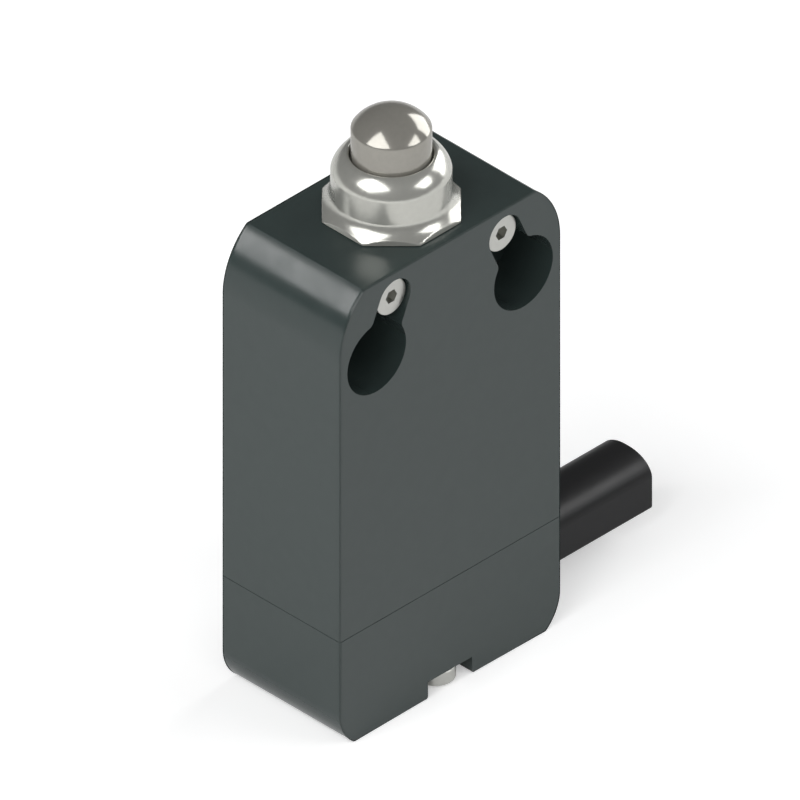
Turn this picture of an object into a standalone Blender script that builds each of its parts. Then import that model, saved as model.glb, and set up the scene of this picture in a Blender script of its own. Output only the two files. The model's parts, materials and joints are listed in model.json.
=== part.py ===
"""Prewired limit switch with a domed plunger, in metres, +Z up.

The origin is on the flat back face, midway between the two fixing holes. +X runs along the
width towards the cable, -Y is the front with the keyhole recesses, and +Z points at the
plunger. Heights in the constants are measured from the foot and turned into Z by level().
"""

import math

import bmesh
import bpy
from mathutils import Matrix, Vector

MM = 0.001

# Body
WIDTH = 30.0 * MM
DEPTH = 16.0 * MM
HEIGHT = 52.6 * MM
FIXING_SPACING = 20.0 * MM
FIXING_HEIGHT = 43.8 * MM
SEAM_HEIGHT = 12.6 * MM
SEAM_GAP = 0.15 * MM
EDGE_ROUND = 0.15 * MM
TOP_CORNER_RADIUS = 8.65 * MM
TOP_CORNER_DROP = 6.8 * MM
FOOT_CORNER_RADIUS = 5.0 * MM
FOOT_CORNER_RISE = 4.0 * MM

# Keyhole recesses in the front face
COUNTERBORE_RADIUS = 4.0 * MM
COUNTERBORE_DEPTH = 6.0 * MM
COUNTERBORE_DRAW = 0.02 * MM
FIXING_HOLE_RADIUS = 2.2 * MM
HEAD_POCKET_RADIUS = 2.15 * MM
HEAD_POCKET_DEPTH = 2.7 * MM
NECK_FILLET = 0.9 * MM

# Small socket screws: two across the collar, two up through the foot
SCREW_X = 7.5 * MM
SCREW_HEIGHT = 49.5 * MM
SCREW_HEAD_RADIUS = 1.95 * MM
SCREW_HEAD_HEIGHT = 2.0 * MM
SCREW_HEAD_SUNK = 0.5 * MM
HEAD_SHANK_RADIUS = 1.25 * MM
FOOT_SHANK_RADIUS = 1.0 * MM
SCREW_CLEARANCE = 0.15 * MM
SCREW_END_GAP = 0.8 * MM
SOCKET_FLATS = 1.3 * MM
SOCKET_DEPTH = 1.1 * MM
INSERT_WALL = 0.45 * MM
INSERT_LENGTH = 3.0 * MM
FOOT_SCREW_INSET = 2.0 * MM
FOOT_HEAD_HEIGHT = 1.5 * MM
FOOT_BOSS_RADIUS = 2.6 * MM
FOOT_HEAD_GAP = 0.1 * MM

# Collar, measured up from the housing's top face
COLLAR_FLATS = 13.4 * MM
COLLAR_SEAT_GAP = 0.1 * MM
COLLAR_FLANGE_TOP = 0.45 * MM
COLLAR_FLARE_TOP = 1.8 * MM
COLLAR_RADIUS = 5.9 * MM
COLLAR_SHOULDER = 4.3 * MM
COLLAR_MOUTH = 6.5 * MM
MOUTH_RADIUS = 4.3 * MM
MOUTH_EDGE = 0.15 * MM
COLLAR_BARREL_RADIUS = 6.5 * MM
COLLAR_BARREL_LENGTH = 5.7 * MM
COLLAR_GROOVE_RADIUS = 6.1 * MM
COLLAR_GROOVE_WIDTH = 2.8 * MM
COLLAR_CHAMBER_RADIUS = 5.1 * MM

# Plunger, measured up from the housing's top face
PLUNGER_RADIUS = 3.95 * MM
PLUNGER_SHOULDER = 9.4 * MM
DOME_RADIUS = 4.8 * MM
PLUNGER_FLANGE_RADIUS = 4.7 * MM
PLUNGER_FLANGE_TOP = 4.8 * MM
PLUNGER_FLANGE_BOTTOM = 3.9 * MM
STEM_RADIUS = 2.0 * MM
STEM_NECK = 0.6 * MM
TRAVEL = 4.0 * MM

# Contact unit, heights from the foot
CAVITY_HALF_WIDTH = 13.3 * MM
CAVITY_WALL = 1.6 * MM
CAVITY_TOP = 38.2 * MM
BLOCK_HALF_WIDTH = 12.6 * MM
BLOCK_BOTTOM = 17.0 * MM
BLOCK_TOP = 36.5 * MM
CHAMBER_HALF_WIDTH = 10.9 * MM
CHAMBER_FLOOR = 19.5 * MM
CHAMBER_CEILING = 34.2 * MM
NC_BRIDGE_HEIGHT = 32.0 * MM
NO_BRIDGE_HEIGHT = 27.0 * MM
NC_RATIO = 0.8
NO_RATIO = 0.55
BRIDGE_THICKNESS = 0.5 * MM
TIP_RADIUS = 0.8 * MM
TIP_HEIGHT = 0.5 * MM
TIP_X = 6.0 * MM
CONTACT_GAP = 0.2 * MM
STRIP_THICKNESS = 0.6 * MM
STRIP_WIDTH = 3.6 * MM
NC_LEG_X = 10.0 * MM
NO_LEG_X = 7.6 * MM
TAIL_HEIGHT = 14.4 * MM

# Springs: radius to the wire's middle, radius of the wire, turns
RETURN_SPRING = (3.5 * MM, 0.25 * MM, 5)
CARRIER_SPRING = (1.6 * MM, 0.2 * MM, 5)
CONTACT_SPRING = (1.05 * MM, 0.18 * MM, 4)

# Cable tail
JACKET_HALF_WIDTH = 3.4 * MM
JACKET_BOTTOM = 2.56 * MM
JACKET_TOP = 8.45 * MM
JACKET_CROWN = (3.16 * MM, 2.2 * MM)
JACKET_FOOT_RADIUS = 0.4 * MM
JACKET_END_X = 32.16 * MM
JACKET_START_X = 8.6 * MM
CORE_RADIUS = 0.55 * MM
CORE_BORE_RADIUS = 0.65 * MM
CORE_OFFSET = 0.95 * MM
GROMMET_DEPTH = 2.8 * MM
CLAMP_WALL = 1.6 * MM
CLAMP_TOP = 10.4 * MM
CLAMP_X = (9.2 * MM, 11.6 * MM)

# Worked out from the above
CENTRE_Y = -DEPTH / 2.0
FIT = 0.15 * MM
ROUND = 40


def level(height):
    """Z of a height measured up from the foot."""
    return height - FIXING_HEIGHT


TOP = level(HEIGHT)
FOOT = level(0.0)
SEAM = level(SEAM_HEIGHT)
SCREW_Z = level(SCREW_HEIGHT)


# --- scene and material helpers ---------------------------------------------------------


def clear_scene():
    for obj in list(bpy.data.objects):
        bpy.data.objects.remove(obj, do_unlink=True)


def collection(name, hidden=False):
    made = bpy.data.collections.new(name)
    bpy.context.scene.collection.children.link(made)
    made.hide_render = hidden
    return made


def material(name, colour, roughness, metallic=0.0):
    made = bpy.data.materials.new(name)
    made.use_nodes = True
    shader = made.node_tree.nodes["Principled BSDF"]
    shader.inputs["Base Color"].default_value = (*colour, 1.0)
    shader.inputs["Roughness"].default_value = roughness
    shader.inputs["Metallic"].default_value = metallic
    return made


def dress(obj, finish):
    obj.data.materials.clear()
    obj.data.materials.append(finish)
    obj.data.shade_smooth()
    obj.data.set_sharp_from_angle(angle=math.radians(30.0))
    return obj


def group_under(name, centre, members):
    """An empty on the joint's axis that carries the members, which stay where they are."""
    axis = bpy.data.objects.new(name, None)
    axis.empty_display_size = 5.0 * MM
    axis.location = centre
    PARTS.objects.link(axis)
    for member in members:
        member.parent = axis
        member.location = member.location - axis.location


# --- shape helpers ----------------------------------------------------------------------


def arc(centre, radius, start, end, steps):
    """Points on an arc in degrees, both ends included. A pair of radii gives an ellipse."""
    across, up = radius if isinstance(radius, tuple) else (radius, radius)
    points = []
    for step in range(steps + 1):
        angle = math.radians(start + (end - start) * step / steps)
        points.append((centre[0] + across * math.cos(angle), centre[1] + up * math.sin(angle)))
    return points


def mirrored(points):
    """The points, then the same ones mirrored about the second axis, back to the start."""
    return points + [(-x, z) for x, z in reversed(points) if abs(x) > 1e-9]


def object_of(name, bm, location=(0.0, 0.0, 0.0)):
    mesh = bpy.data.meshes.new(name)
    bmesh.ops.recalc_face_normals(bm, faces=bm.faces)
    bm.to_mesh(mesh)
    bm.free()
    obj = bpy.data.objects.new(name, mesh)
    obj.location = location
    PARTS.objects.link(obj)
    return obj


def box(name, low, high):
    centre = (Vector(low) + Vector(high)) / 2.0
    size = Vector(high) - Vector(low)
    bm = bmesh.new()
    bmesh.ops.create_cube(bm, size=1.0, matrix=Matrix.Diagonal((*size, 1.0)))
    return object_of(name, bm, centre)


TURN = {
    "X": Matrix.Rotation(math.radians(90.0), 4, "Y"),
    "Y": Matrix.Rotation(math.radians(90.0), 4, "X"),
    "Z": Matrix.Identity(4),
}


def rod(name, radius, centre, length, axis="Z", sides=ROUND, turn=0.0):
    """A cylinder, or a regular prism with few sides, centred on its axis."""
    bm = bmesh.new()
    place = TURN[axis] @ Matrix.Rotation(math.radians(turn), 4, "Z")
    bmesh.ops.create_cone(
        bm, cap_ends=True, segments=sides, radius1=radius, radius2=radius, depth=length, matrix=place
    )
    return object_of(name, bm, centre)


PLANE = {
    "X": Matrix(((0, 0, 1, 0), (1, 0, 0, 0), (0, 1, 0, 0), (0, 0, 0, 1))),
    "Y": Matrix.Rotation(math.radians(90.0), 4, "X"),
    "Z": Matrix.Identity(4),
}


def prism(name, outline, axis, low, high, edge=0.0, holes=()):
    """A flat outline given thickness along an axis, with its two rims rounded by edge."""
    data = bpy.data.curves.new(name, "CURVE")
    data.dimensions = "2D"
    data.fill_mode = "BOTH"
    data.extrude = (high - low) / 2.0 - edge
    data.bevel_depth = edge
    data.bevel_resolution = 1
    data.offset = -edge
    for loop in (outline, *holes):
        spline = data.splines.new("POLY")
        spline.points.add(len(loop) - 1)
        for point, (across, up) in zip(spline.points, loop):
            point.co = (across, up, 0.0, 1.0)
        spline.use_cyclic_u = True
    curve = bpy.data.objects.new(name + "_outline", data)
    PARTS.objects.link(curve)
    bm = bmesh.new()
    bm.from_mesh(bpy.data.meshes.new_from_object(curve))
    bmesh.ops.remove_doubles(bm, verts=bm.verts, dist=1e-6)
    bm.transform(PLANE[axis])
    bpy.data.objects.remove(curve)
    middle = (low + high) / 2.0
    place = {"X": (middle, 0, 0), "Y": (0, middle, 0), "Z": (0, 0, middle)}[axis]
    return object_of(name, bm, place)


def turned(name, profile, centre, axis="Z", steps=ROUND, closed=False):
    """A turned piece. The profile of (radius, height) runs down its outer side."""
    mesh = bpy.data.meshes.new(name)
    points = [(radius, 0.0, height) for radius, height in profile]
    edges = [(i, i + 1) for i in range(len(points) - 1)]
    if closed:
        edges.append((len(points) - 1, 0))
    mesh.from_pydata(points, edges, [])
    obj = bpy.data.objects.new(name, mesh)
    obj.location = centre
    obj.rotation_euler = TURN[axis].to_euler()
    PARTS.objects.link(obj)
    screw = obj.modifiers.new("turn", "SCREW")
    screw.steps = steps
    screw.render_steps = steps
    screw.use_merge_vertices = True
    screw.merge_threshold = 1e-6
    return obj


def wire(name, points, radius, resolution=1):
    """A round wire through the points, with filled ends."""
    data = bpy.data.curves.new(name, "CURVE")
    data.dimensions = "3D"
    data.bevel_depth = radius
    data.bevel_resolution = resolution
    data.use_fill_caps = True
    spline = data.splines.new("POLY")
    spline.points.add(len(points) - 1)
    for point, place in zip(spline.points, points):
        point.co = (*place, 1.0)
    obj = bpy.data.objects.new(name, data)
    PARTS.objects.link(obj)
    return obj


def smooth_path(knots, per_span=4):
    """Points on a smooth curve through the knots."""
    ends = [2 * knots[0] - knots[1], *knots, 2 * knots[-1] - knots[-2]]
    points = []
    for before, start, end, after in zip(ends, ends[1:], ends[2:], ends[3:]):
        for step in range(per_span):
            t = step / per_span
            points.append(
                0.5
                * (
                    2 * start
                    + (end - before) * t
                    + (2 * before - 5 * start + 4 * end - after) * t**2
                    + (3 * start - before - 3 * end + after) * t**3
                )
            )
    return points + [knots[-1]]


def coil(name, low, high, spring, per_turn=9):
    """A compression spring round the plunger's axis, one unbroken helix between two heights."""
    radius, wire_radius, turns = spring
    count = int(turns * per_turn)
    bottom = low + wire_radius
    rise = high - low - 2.0 * wire_radius
    points = []
    for step in range(count + 1):
        angle = 2.0 * math.pi * step / per_turn
        z = bottom + rise * step / count
        points.append(
            Vector((radius * math.cos(angle), CENTRE_Y + radius * math.sin(angle), z))
        )
    gap = min(
        (points[i] - points[j]).length
        for i in range(len(points))
        for j in range(i + per_turn // 2, len(points))
    ) - 2.0 * wire_radius
    print(f"{name}: least gap to itself {gap / MM:.2f} mm")
    return wire(name, points, wire_radius)


def as_cutter(obj):
    for holder in list(obj.users_collection):
        holder.objects.unlink(obj)
    CUTTERS.objects.link(obj)
    obj.hide_render = True
    obj.display_type = "WIRE"
    return obj


def boolean(target, tools, operation):
    for tool in tools:
        modifier = target.modifiers.new(tool.name, "BOOLEAN")
        modifier.operation = operation
        modifier.object = as_cutter(tool)
    return target


def cut(target, *tools):
    return boolean(target, tools, "DIFFERENCE")


def add(target, *tools):
    return boolean(target, tools, "UNION")


def keep(target, tool):
    return boolean(target, [tool], "INTERSECT")


def slab(name, half_width, front, back, low, high, corner):
    """An upright block with round vertical corners, for cavities and gaskets."""
    return prism(name, rounded_rectangle(half_width, front, back, corner), "Z", low, high)


def rounded_rectangle(half_width, front, back, corner, steps=4):
    points = arc((half_width - corner, back - corner), corner, 0, 90, steps)
    points += arc((-half_width + corner, back - corner), corner, 90, 180, steps)
    points += arc((-half_width + corner, front + corner), corner, 180, 270, steps)
    points += arc((half_width - corner, front + corner), corner, 270, 360, steps)
    return points


# --- body -------------------------------------------------------------------------------


def body_outline():
    """The front outline of housing and foot together, from the foot's middle round to it."""
    top_angle = math.degrees(math.asin(TOP_CORNER_DROP / TOP_CORNER_RADIUS))
    foot_angle = math.degrees(math.asin(FOOT_CORNER_RISE / FOOT_CORNER_RADIUS))
    foot_centre = (WIDTH / 2 - FOOT_CORNER_RADIUS, FOOT + FOOT_CORNER_RISE)
    top_centre = (WIDTH / 2 - TOP_CORNER_RADIUS, TOP - TOP_CORNER_DROP)
    right = arc(foot_centre, FOOT_CORNER_RADIUS, -foot_angle, 0, 6)
    right += arc(top_centre, TOP_CORNER_RADIUS, 0, top_angle, 9)
    return mirrored(right)


def body_blank(name):
    return prism(name, body_outline(), "Y", -DEPTH, 0.0, edge=EDGE_ROUND)


def keyhole_outline(side):
    """Counterbore, neck and head pocket in one outline in (x, z), with filleted corners.

    The deeper counterbore is drawn in by a hair below it, as a moulded hole is.
    """
    bore = Vector((FIXING_SPACING / 2, 0.0))
    pocket = Vector((SCREW_X, SCREW_Z))
    up = (pocket - bore).normalized()
    right = Vector((up.y, -up.x))
    offset = HEAD_POCKET_RADIUS + NECK_FILLET
    rise = math.sqrt((COUNTERBORE_RADIUS + NECK_FILLET) ** 2 - offset**2)
    lean = math.degrees(math.atan2(offset, rise))
    tilt = math.degrees(math.atan2(up.y, up.x))
    left_centre = bore + up * rise - right * offset
    right_centre = bore + up * rise + right * offset
    points = arc(pocket, HEAD_POCKET_RADIUS, tilt - 90, tilt + 90, 12)
    points += arc(left_centre, NECK_FILLET, tilt - 90, tilt - 180 + lean, 3)
    points += arc(bore, COUNTERBORE_RADIUS, tilt + lean, tilt + 360 - lean, 30)[1:]
    points += arc(right_centre, NECK_FILLET, tilt + 180 - lean, tilt + 90, 3)[1:]
    return [(side * x, z) for x, z in points]


def keyhole_cutters(side, word):
    x = side * FIXING_SPACING / 2
    overlap = 0.3 * MM
    bore_start = -DEPTH + HEAD_POCKET_DEPTH - overlap
    bore_length = COUNTERBORE_DEPTH - HEAD_POCKET_DEPTH + overlap
    shank_hole = HEAD_SHANK_RADIUS + SCREW_CLEARANCE
    insert_hole = insert_radius(HEAD_SHANK_RADIUS) + FIT
    insert_depth = INSERT_LENGTH + 3 * FIT
    insert_middle = (side * SCREW_X, (MM - insert_depth) / 2, SCREW_Z)
    return [
        prism(f"keyhole_{word}", keyhole_outline(side), "Y", -DEPTH - MM, -DEPTH + HEAD_POCKET_DEPTH),
        rod(f"counterbore_{word}", COUNTERBORE_RADIUS - COUNTERBORE_DRAW,
            (x, bore_start + bore_length / 2, 0.0), bore_length, "Y"),
        rod(f"fixing_hole_{word}", FIXING_HOLE_RADIUS, (x, CENTRE_Y, 0.0), DEPTH + MM, "Y", 28),
        rod(f"cross_hole_{word}", shank_hole, (side * SCREW_X, CENTRE_Y, SCREW_Z), DEPTH - 2 * MM, "Y", 20),
        rod(f"insert_hole_{word}", insert_hole, insert_middle, insert_depth + MM, "Y", 24),
    ]


def insert_radius(shank_radius):
    """Outside of the brass insert that takes a screw's shank."""
    return shank_radius + SCREW_CLEARANCE + INSERT_WALL


def foot_screw_y(side):
    """Y of the foot's screws: side -1 is at the front face, 1 at the back face."""
    return CENTRE_Y + side * (DEPTH / 2 - FOOT_SCREW_INSET)


BUSH_NOSE_BOTTOM = level(40.0 * MM)
BUSH_NOSE_RADIUS = 4.4 * MM
STEM_HOLE_RADIUS = STEM_RADIUS + 0.4 * MM
COLLAR_BORE_RADIUS = 6.6 * MM
COLLAR_BORE_BOTTOM = level(46.3 * MM)
HOUSING_BOSS_TOP = level(16.6 * MM)


def make_housing(finish):
    housing = body_blank("housing")
    low = SEAM + SEAM_GAP / 2
    cut(housing, box("below_seam", (-WIDTH, -DEPTH - MM, FOOT - MM), (WIDTH, MM, low)))
    cavity = slab(
        "housing_cavity", CAVITY_HALF_WIDTH, -DEPTH + CAVITY_WALL, -CAVITY_WALL,
        low - MM, level(CAVITY_TOP), 1.5 * MM,
    )
    for side in (-1, 1):
        y = foot_screw_y(side)
        boss = rod(f"cavity_boss_{side}", FOOT_BOSS_RADIUS, (0, y, (HOUSING_BOSS_TOP + low) / 2 - MM),
                   HOUSING_BOSS_TOP - low + 2 * MM, sides=24)
        cut(cavity, boss)
    cut(housing, cavity)
    for side, word in ((-1, "left"), (1, "right")):
        cut(housing, *keyhole_cutters(side, word))
    stem_top = BUSH_NOSE_BOTTOM
    cut(
        housing,
        rod("stem_hole", STEM_HOLE_RADIUS, (0, CENTRE_Y, stem_top - MM), 5 * MM, sides=24),
        rod("bush_bore", BUSH_NOSE_RADIUS + FIT, (0, CENTRE_Y, (stem_top + TOP) / 2), TOP - stem_top),
        rod("collar_bore", COLLAR_BORE_RADIUS, (0, CENTRE_Y, (COLLAR_BORE_BOTTOM + TOP + MM) / 2),
            TOP + MM - COLLAR_BORE_BOTTOM, sides=48),
    )
    for side in (-1, 1):
        y = foot_screw_y(side)
        depth = INSERT_LENGTH + 2 * FIT
        radius = insert_radius(FOOT_SHANK_RADIUS) + FIT
        middle = (0, y, low + (depth - MM) / 2)
        cut(housing, rod(f"foot_insert_hole_{side}", radius, middle, depth + MM, sides=24))
    return dress(housing, finish)


# --- foot -------------------------------------------------------------------------------

COVER_WALL = 1.8 * MM
COVER_FLOOR = 2.4 * MM
NOTCH_WIDTH = 6.0 * MM
NOTCH_HEIGHT = 2.0 * MM
NOTCH_DEPTH = 4.4 * MM
NOTCH_ROOF = 1.2 * MM
GASKET_THICKNESS = 0.6 * MM
GASKET_RIM = 0.9 * MM
OUTLET_MARGIN = 0.9 * MM


def jacket_outline(grow=0.0):
    """The cable tail's section in (y, z): oval crown, upright sides, flat underside."""
    across, up = JACKET_CROWN
    half = JACKET_HALF_WIDTH + grow
    foot = JACKET_FOOT_RADIUS + grow
    crown_z = level(JACKET_TOP) - up
    points = arc((half - across - grow, crown_z), (across + grow, up + grow), 0, 90, 8)
    points += arc((-half + across + grow, crown_z), (across + grow, up + grow), 90, 180, 8)
    points += arc((-half + foot, level(JACKET_BOTTOM) + foot - grow), foot, 180, 270, 3)
    points += arc((half - foot, level(JACKET_BOTTOM) + foot - grow), foot, 270, 360, 3)
    return [(CENTRE_Y + y, z) for y, z in points]


def make_bottom_cover(finish):
    cover = body_blank("bottom_cover")
    top = SEAM - SEAM_GAP / 2
    shelf = top - GASKET_THICKNESS - FIT
    floor = FOOT + COVER_FLOOR
    cut(cover, box("above_seam", (-WIDTH, -DEPTH - MM, top), (WIDTH, MM, TOP + MM)))
    hollow = slab(
        "cover_hollow", WIDTH / 2 - COVER_WALL, -DEPTH + COVER_WALL, -COVER_WALL, floor, top + MM, 1.5 * MM
    )
    for side in (-1, 1):
        low = floor - MM
        edge = CENTRE_Y + side * DEPTH / 2
        inner = edge - side * (NOTCH_DEPTH + NOTCH_ROOF)
        half = NOTCH_WIDTH / 2 + NOTCH_ROOF
        cut(
            hollow,
            rod(f"cover_boss_{side}", FOOT_BOSS_RADIUS, (0, foot_screw_y(side), (low + shelf) / 2),
                shelf - low, sides=24),
            box(f"notch_roof_{side}", (-half, min(inner, edge), low),
                (half, max(inner, edge), FOOT + NOTCH_HEIGHT + NOTCH_ROOF)),
        )
    cut(cover, hollow)
    rim = WIDTH / 2 - GASKET_RIM
    cut(cover, slab("gasket_seat", rim, -DEPTH + GASKET_RIM, -GASKET_RIM, shelf, top + MM, 1.8 * MM))
    for side in (-1, 1):
        y = foot_screw_y(side)
        edge = CENTRE_Y + side * DEPTH / 2
        inner = edge - side * NOTCH_DEPTH
        outer = edge + side * MM
        cut(
            cover,
            box(f"notch_{side}", (-NOTCH_WIDTH / 2, min(inner, outer), FOOT - MM),
                (NOTCH_WIDTH / 2, max(inner, outer), FOOT + NOTCH_HEIGHT)),
            rod(f"foot_hole_{side}", FOOT_SHANK_RADIUS + SCREW_CLEARANCE, (0, y, level(7.0 * MM)), 16 * MM,
                sides=20),
        )
    cut(cover, prism("outlet", jacket_outline(OUTLET_MARGIN + FIT), "X", WIDTH / 2 - 3 * MM, WIDTH / 2 + MM))
    return dress(cover, finish)


def make_gasket(finish):
    """A flat gasket with an eye round each foot screw."""
    top = SEAM - SEAM_GAP / 2
    low = top - GASKET_THICKNESS
    rim = GASKET_RIM + FIT
    inner = COVER_WALL + 0.2 * MM
    gasket = slab("cover_gasket", WIDTH / 2 - rim, -DEPTH + rim, -rim, low, top, 1.7 * MM)
    window = slab(
        "gasket_window", WIDTH / 2 - inner, -DEPTH + inner, -inner, low - MM, top + MM, 1.3 * MM
    )
    for side in (-1, 1):
        y = foot_screw_y(side)
        cut(window, rod(f"gasket_eye_{side}", FOOT_BOSS_RADIUS - FIT, (0, y, top), 3 * MM, sides=24))
    cut(gasket, window)
    for side in (-1, 1):
        y = foot_screw_y(side)
        hole = FOOT_SHANK_RADIUS + SCREW_CLEARANCE
        cut(gasket, rod(f"gasket_hole_{side}", hole, (0, y, top), 3 * MM, sides=20))
    return dress(gasket, finish)


# --- screws and inserts -----------------------------------------------------------------


def socket_screw(name, centre, axis, head_height, shank, length, finish):
    """A socket screw with its bearing face at centre. An upright one has its head below."""
    chamfer = 0.15 * MM
    profile = [
        (0.0, head_height),
        (SCREW_HEAD_RADIUS - chamfer, head_height),
        (SCREW_HEAD_RADIUS, head_height - chamfer),
        (SCREW_HEAD_RADIUS, 0.0),
        (shank, 0.0),
        (shank, chamfer * 2 - length),
        (shank - chamfer * 2, -length),
        (0.0, -length),
    ]
    screw = turned(name, profile, centre, axis, 20)
    socket = rod(
        name + "_socket",
        SOCKET_FLATS / 2 / math.cos(math.radians(30.0)),
        (0.0, 0.0, 0.0),
        SOCKET_DEPTH + MM,
        sides=6,
    )
    socket.parent = screw
    socket.location = (0.0, 0.0, head_height + (MM - SOCKET_DEPTH) / 2)
    if axis == "Z":
        screw.rotation_euler.rotate_axis("X", math.pi)
    cut(screw, socket)
    return dress(screw, finish)


def threaded_insert(name, centre, axis, shank, finish):
    """A brass insert with a waist between two bands; centre is its middle."""
    half = INSERT_LENGTH / 2
    waist = 0.25 * MM
    bore = shank + SCREW_CLEARANCE
    radius = insert_radius(shank)
    outer = [
        (radius, half),
        (radius, waist),
        (radius - waist, waist),
        (radius - waist, -waist),
        (radius, -waist),
        (radius, -half),
    ]
    insert = turned(name, outer + [(bore, -half), (bore, half)], centre, axis, 16, closed=True)
    return dress(insert, finish)


def make_fasteners(steel, brass):
    for side, word in ((-1, "left"), (1, "right")):
        x = side * SCREW_X
        seat_y = -DEPTH + SCREW_HEAD_SUNK + SCREW_HEAD_HEIGHT
        length = -seat_y - SCREW_END_GAP
        shank = HEAD_SHANK_RADIUS
        socket_screw(f"head_screw_{word}", (x, seat_y, SCREW_Z), "Y", SCREW_HEAD_HEIGHT, shank, length, steel)
        threaded_insert(f"head_insert_{word}", (x, -INSERT_LENGTH / 2 - FIT, SCREW_Z), "Y", shank, brass)
    low = SEAM + SEAM_GAP / 2
    for side, word in ((-1, "front"), (1, "back")):
        y = foot_screw_y(side)
        seat = FOOT + NOTCH_HEIGHT - FOOT_HEAD_GAP
        length = low + INSERT_LENGTH - seat
        shank = FOOT_SHANK_RADIUS
        socket_screw(f"cover_screw_{word}", (0, y, seat), "Z", FOOT_HEAD_HEIGHT, shank, length, steel)
        threaded_insert(f"cover_insert_{word}", (0, y, low + FIT + INSERT_LENGTH / 2), "Z", shank, brass)


# --- collar, plunger and guide ----------------------------------------------------------

WIPER_GROOVE = (5.3 * MM, 5.85 * MM)
WIPER_GROOVE_RADIUS = 4.75 * MM
CHAMBER_ROOF = 4.95 * MM
CHAMBER_ROOF_CHAMFER = (0.3 * MM, 0.6 * MM)
BUSH_FLANGE_TOP = -3.7 * MM
BUSH_FLANGE_BOTTOM = -COLLAR_BARREL_LENGTH + 0.2 * MM
BUSH_BORE = STEM_RADIUS + 0.1 * MM
STEM_RING = 0.42 * MM
COLLAR_RING = 0.22 * MM
STEM_END = 35.2 * MM
STEM_NECK_TOP = 37.4 * MM


def make_collar(finish):
    """Octagonal flange, flare, cylinder and round shoulder over a grooved barrel."""
    groove_high = SCREW_Z - TOP + COLLAR_GROOVE_WIDTH / 2
    groove_low = SCREW_Z - TOP - COLLAR_GROOVE_WIDTH / 2
    corner = COLLAR_FLATS / 2 / math.cos(math.radians(22.5)) + 0.2 * MM
    flare = (COLLAR_FLATS / 2 - COLLAR_RADIUS, COLLAR_FLARE_TOP - COLLAR_FLANGE_TOP)
    shoulder = (COLLAR_RADIUS - MOUTH_RADIUS - MOUTH_EDGE, COLLAR_MOUTH - COLLAR_SHOULDER)
    outside = [(MOUTH_RADIUS, COLLAR_MOUTH - MOUTH_EDGE)]
    outside += arc((COLLAR_RADIUS - shoulder[0], COLLAR_SHOULDER), shoulder, 90, 0, 7)
    outside += arc((COLLAR_FLATS / 2, COLLAR_FLARE_TOP), flare, 180, 270, 5)
    outside += [
        (corner, COLLAR_FLANGE_TOP),
        (corner, COLLAR_SEAT_GAP),
        (COLLAR_BARREL_RADIUS, COLLAR_SEAT_GAP),
        (COLLAR_BARREL_RADIUS, groove_high),
        (COLLAR_GROOVE_RADIUS, groove_high),
        (COLLAR_GROOVE_RADIUS, groove_low),
        (COLLAR_BARREL_RADIUS, groove_low),
        (COLLAR_BARREL_RADIUS, -COLLAR_BARREL_LENGTH),
    ]
    inside = [
        (COLLAR_CHAMBER_RADIUS, -COLLAR_BARREL_LENGTH),
        (COLLAR_CHAMBER_RADIUS, CHAMBER_ROOF - CHAMBER_ROOF_CHAMFER[1]),
        (COLLAR_CHAMBER_RADIUS - CHAMBER_ROOF_CHAMFER[0], CHAMBER_ROOF),
        (MOUTH_RADIUS, CHAMBER_ROOF),
        (MOUTH_RADIUS, WIPER_GROOVE[0]),
        (WIPER_GROOVE_RADIUS, WIPER_GROOVE[0]),
        (WIPER_GROOVE_RADIUS, WIPER_GROOVE[1]),
        (MOUTH_RADIUS, WIPER_GROOVE[1]),
    ]
    collar = turned("guide_collar", outside + inside, (0, CENTRE_Y, TOP), steps=ROUND, closed=True)
    octagon = COLLAR_FLATS / 2 / math.cos(math.radians(22.5))
    keep(collar, rod("collar_octagon", octagon, (0, CENTRE_Y, TOP), 30 * MM, sides=8, turn=22.5))
    return dress(collar, finish)


def make_plunger(finish):
    """Domed head, stop flange and stem, with a neck that the carrier clips on."""
    dome_rise = DOME_RADIUS - math.sqrt(DOME_RADIUS**2 - PLUNGER_RADIUS**2)
    edge = math.degrees(math.asin(PLUNGER_RADIUS / DOME_RADIUS))
    centre = (0.0, PLUNGER_SHOULDER + dome_rise - DOME_RADIUS)
    profile = arc(centre, DOME_RADIUS, 90.0, 90.0 - edge, 8)
    stem_end = level(STEM_END) - TOP
    neck_top = level(STEM_NECK_TOP) - TOP
    profile += [
        (PLUNGER_RADIUS, PLUNGER_FLANGE_TOP),
        (PLUNGER_FLANGE_RADIUS, PLUNGER_FLANGE_TOP),
        (PLUNGER_FLANGE_RADIUS, PLUNGER_FLANGE_BOTTOM),
        (STEM_RADIUS, PLUNGER_FLANGE_BOTTOM),
        (STEM_RADIUS, neck_top),
        (STEM_RADIUS - STEM_NECK, neck_top),
        (STEM_RADIUS - STEM_NECK, stem_end),
        (0.0, stem_end),
    ]
    profile[0] = (0.0, profile[0][1])
    return dress(turned("plunger", profile, (0, CENTRE_Y, TOP)), finish)


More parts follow.
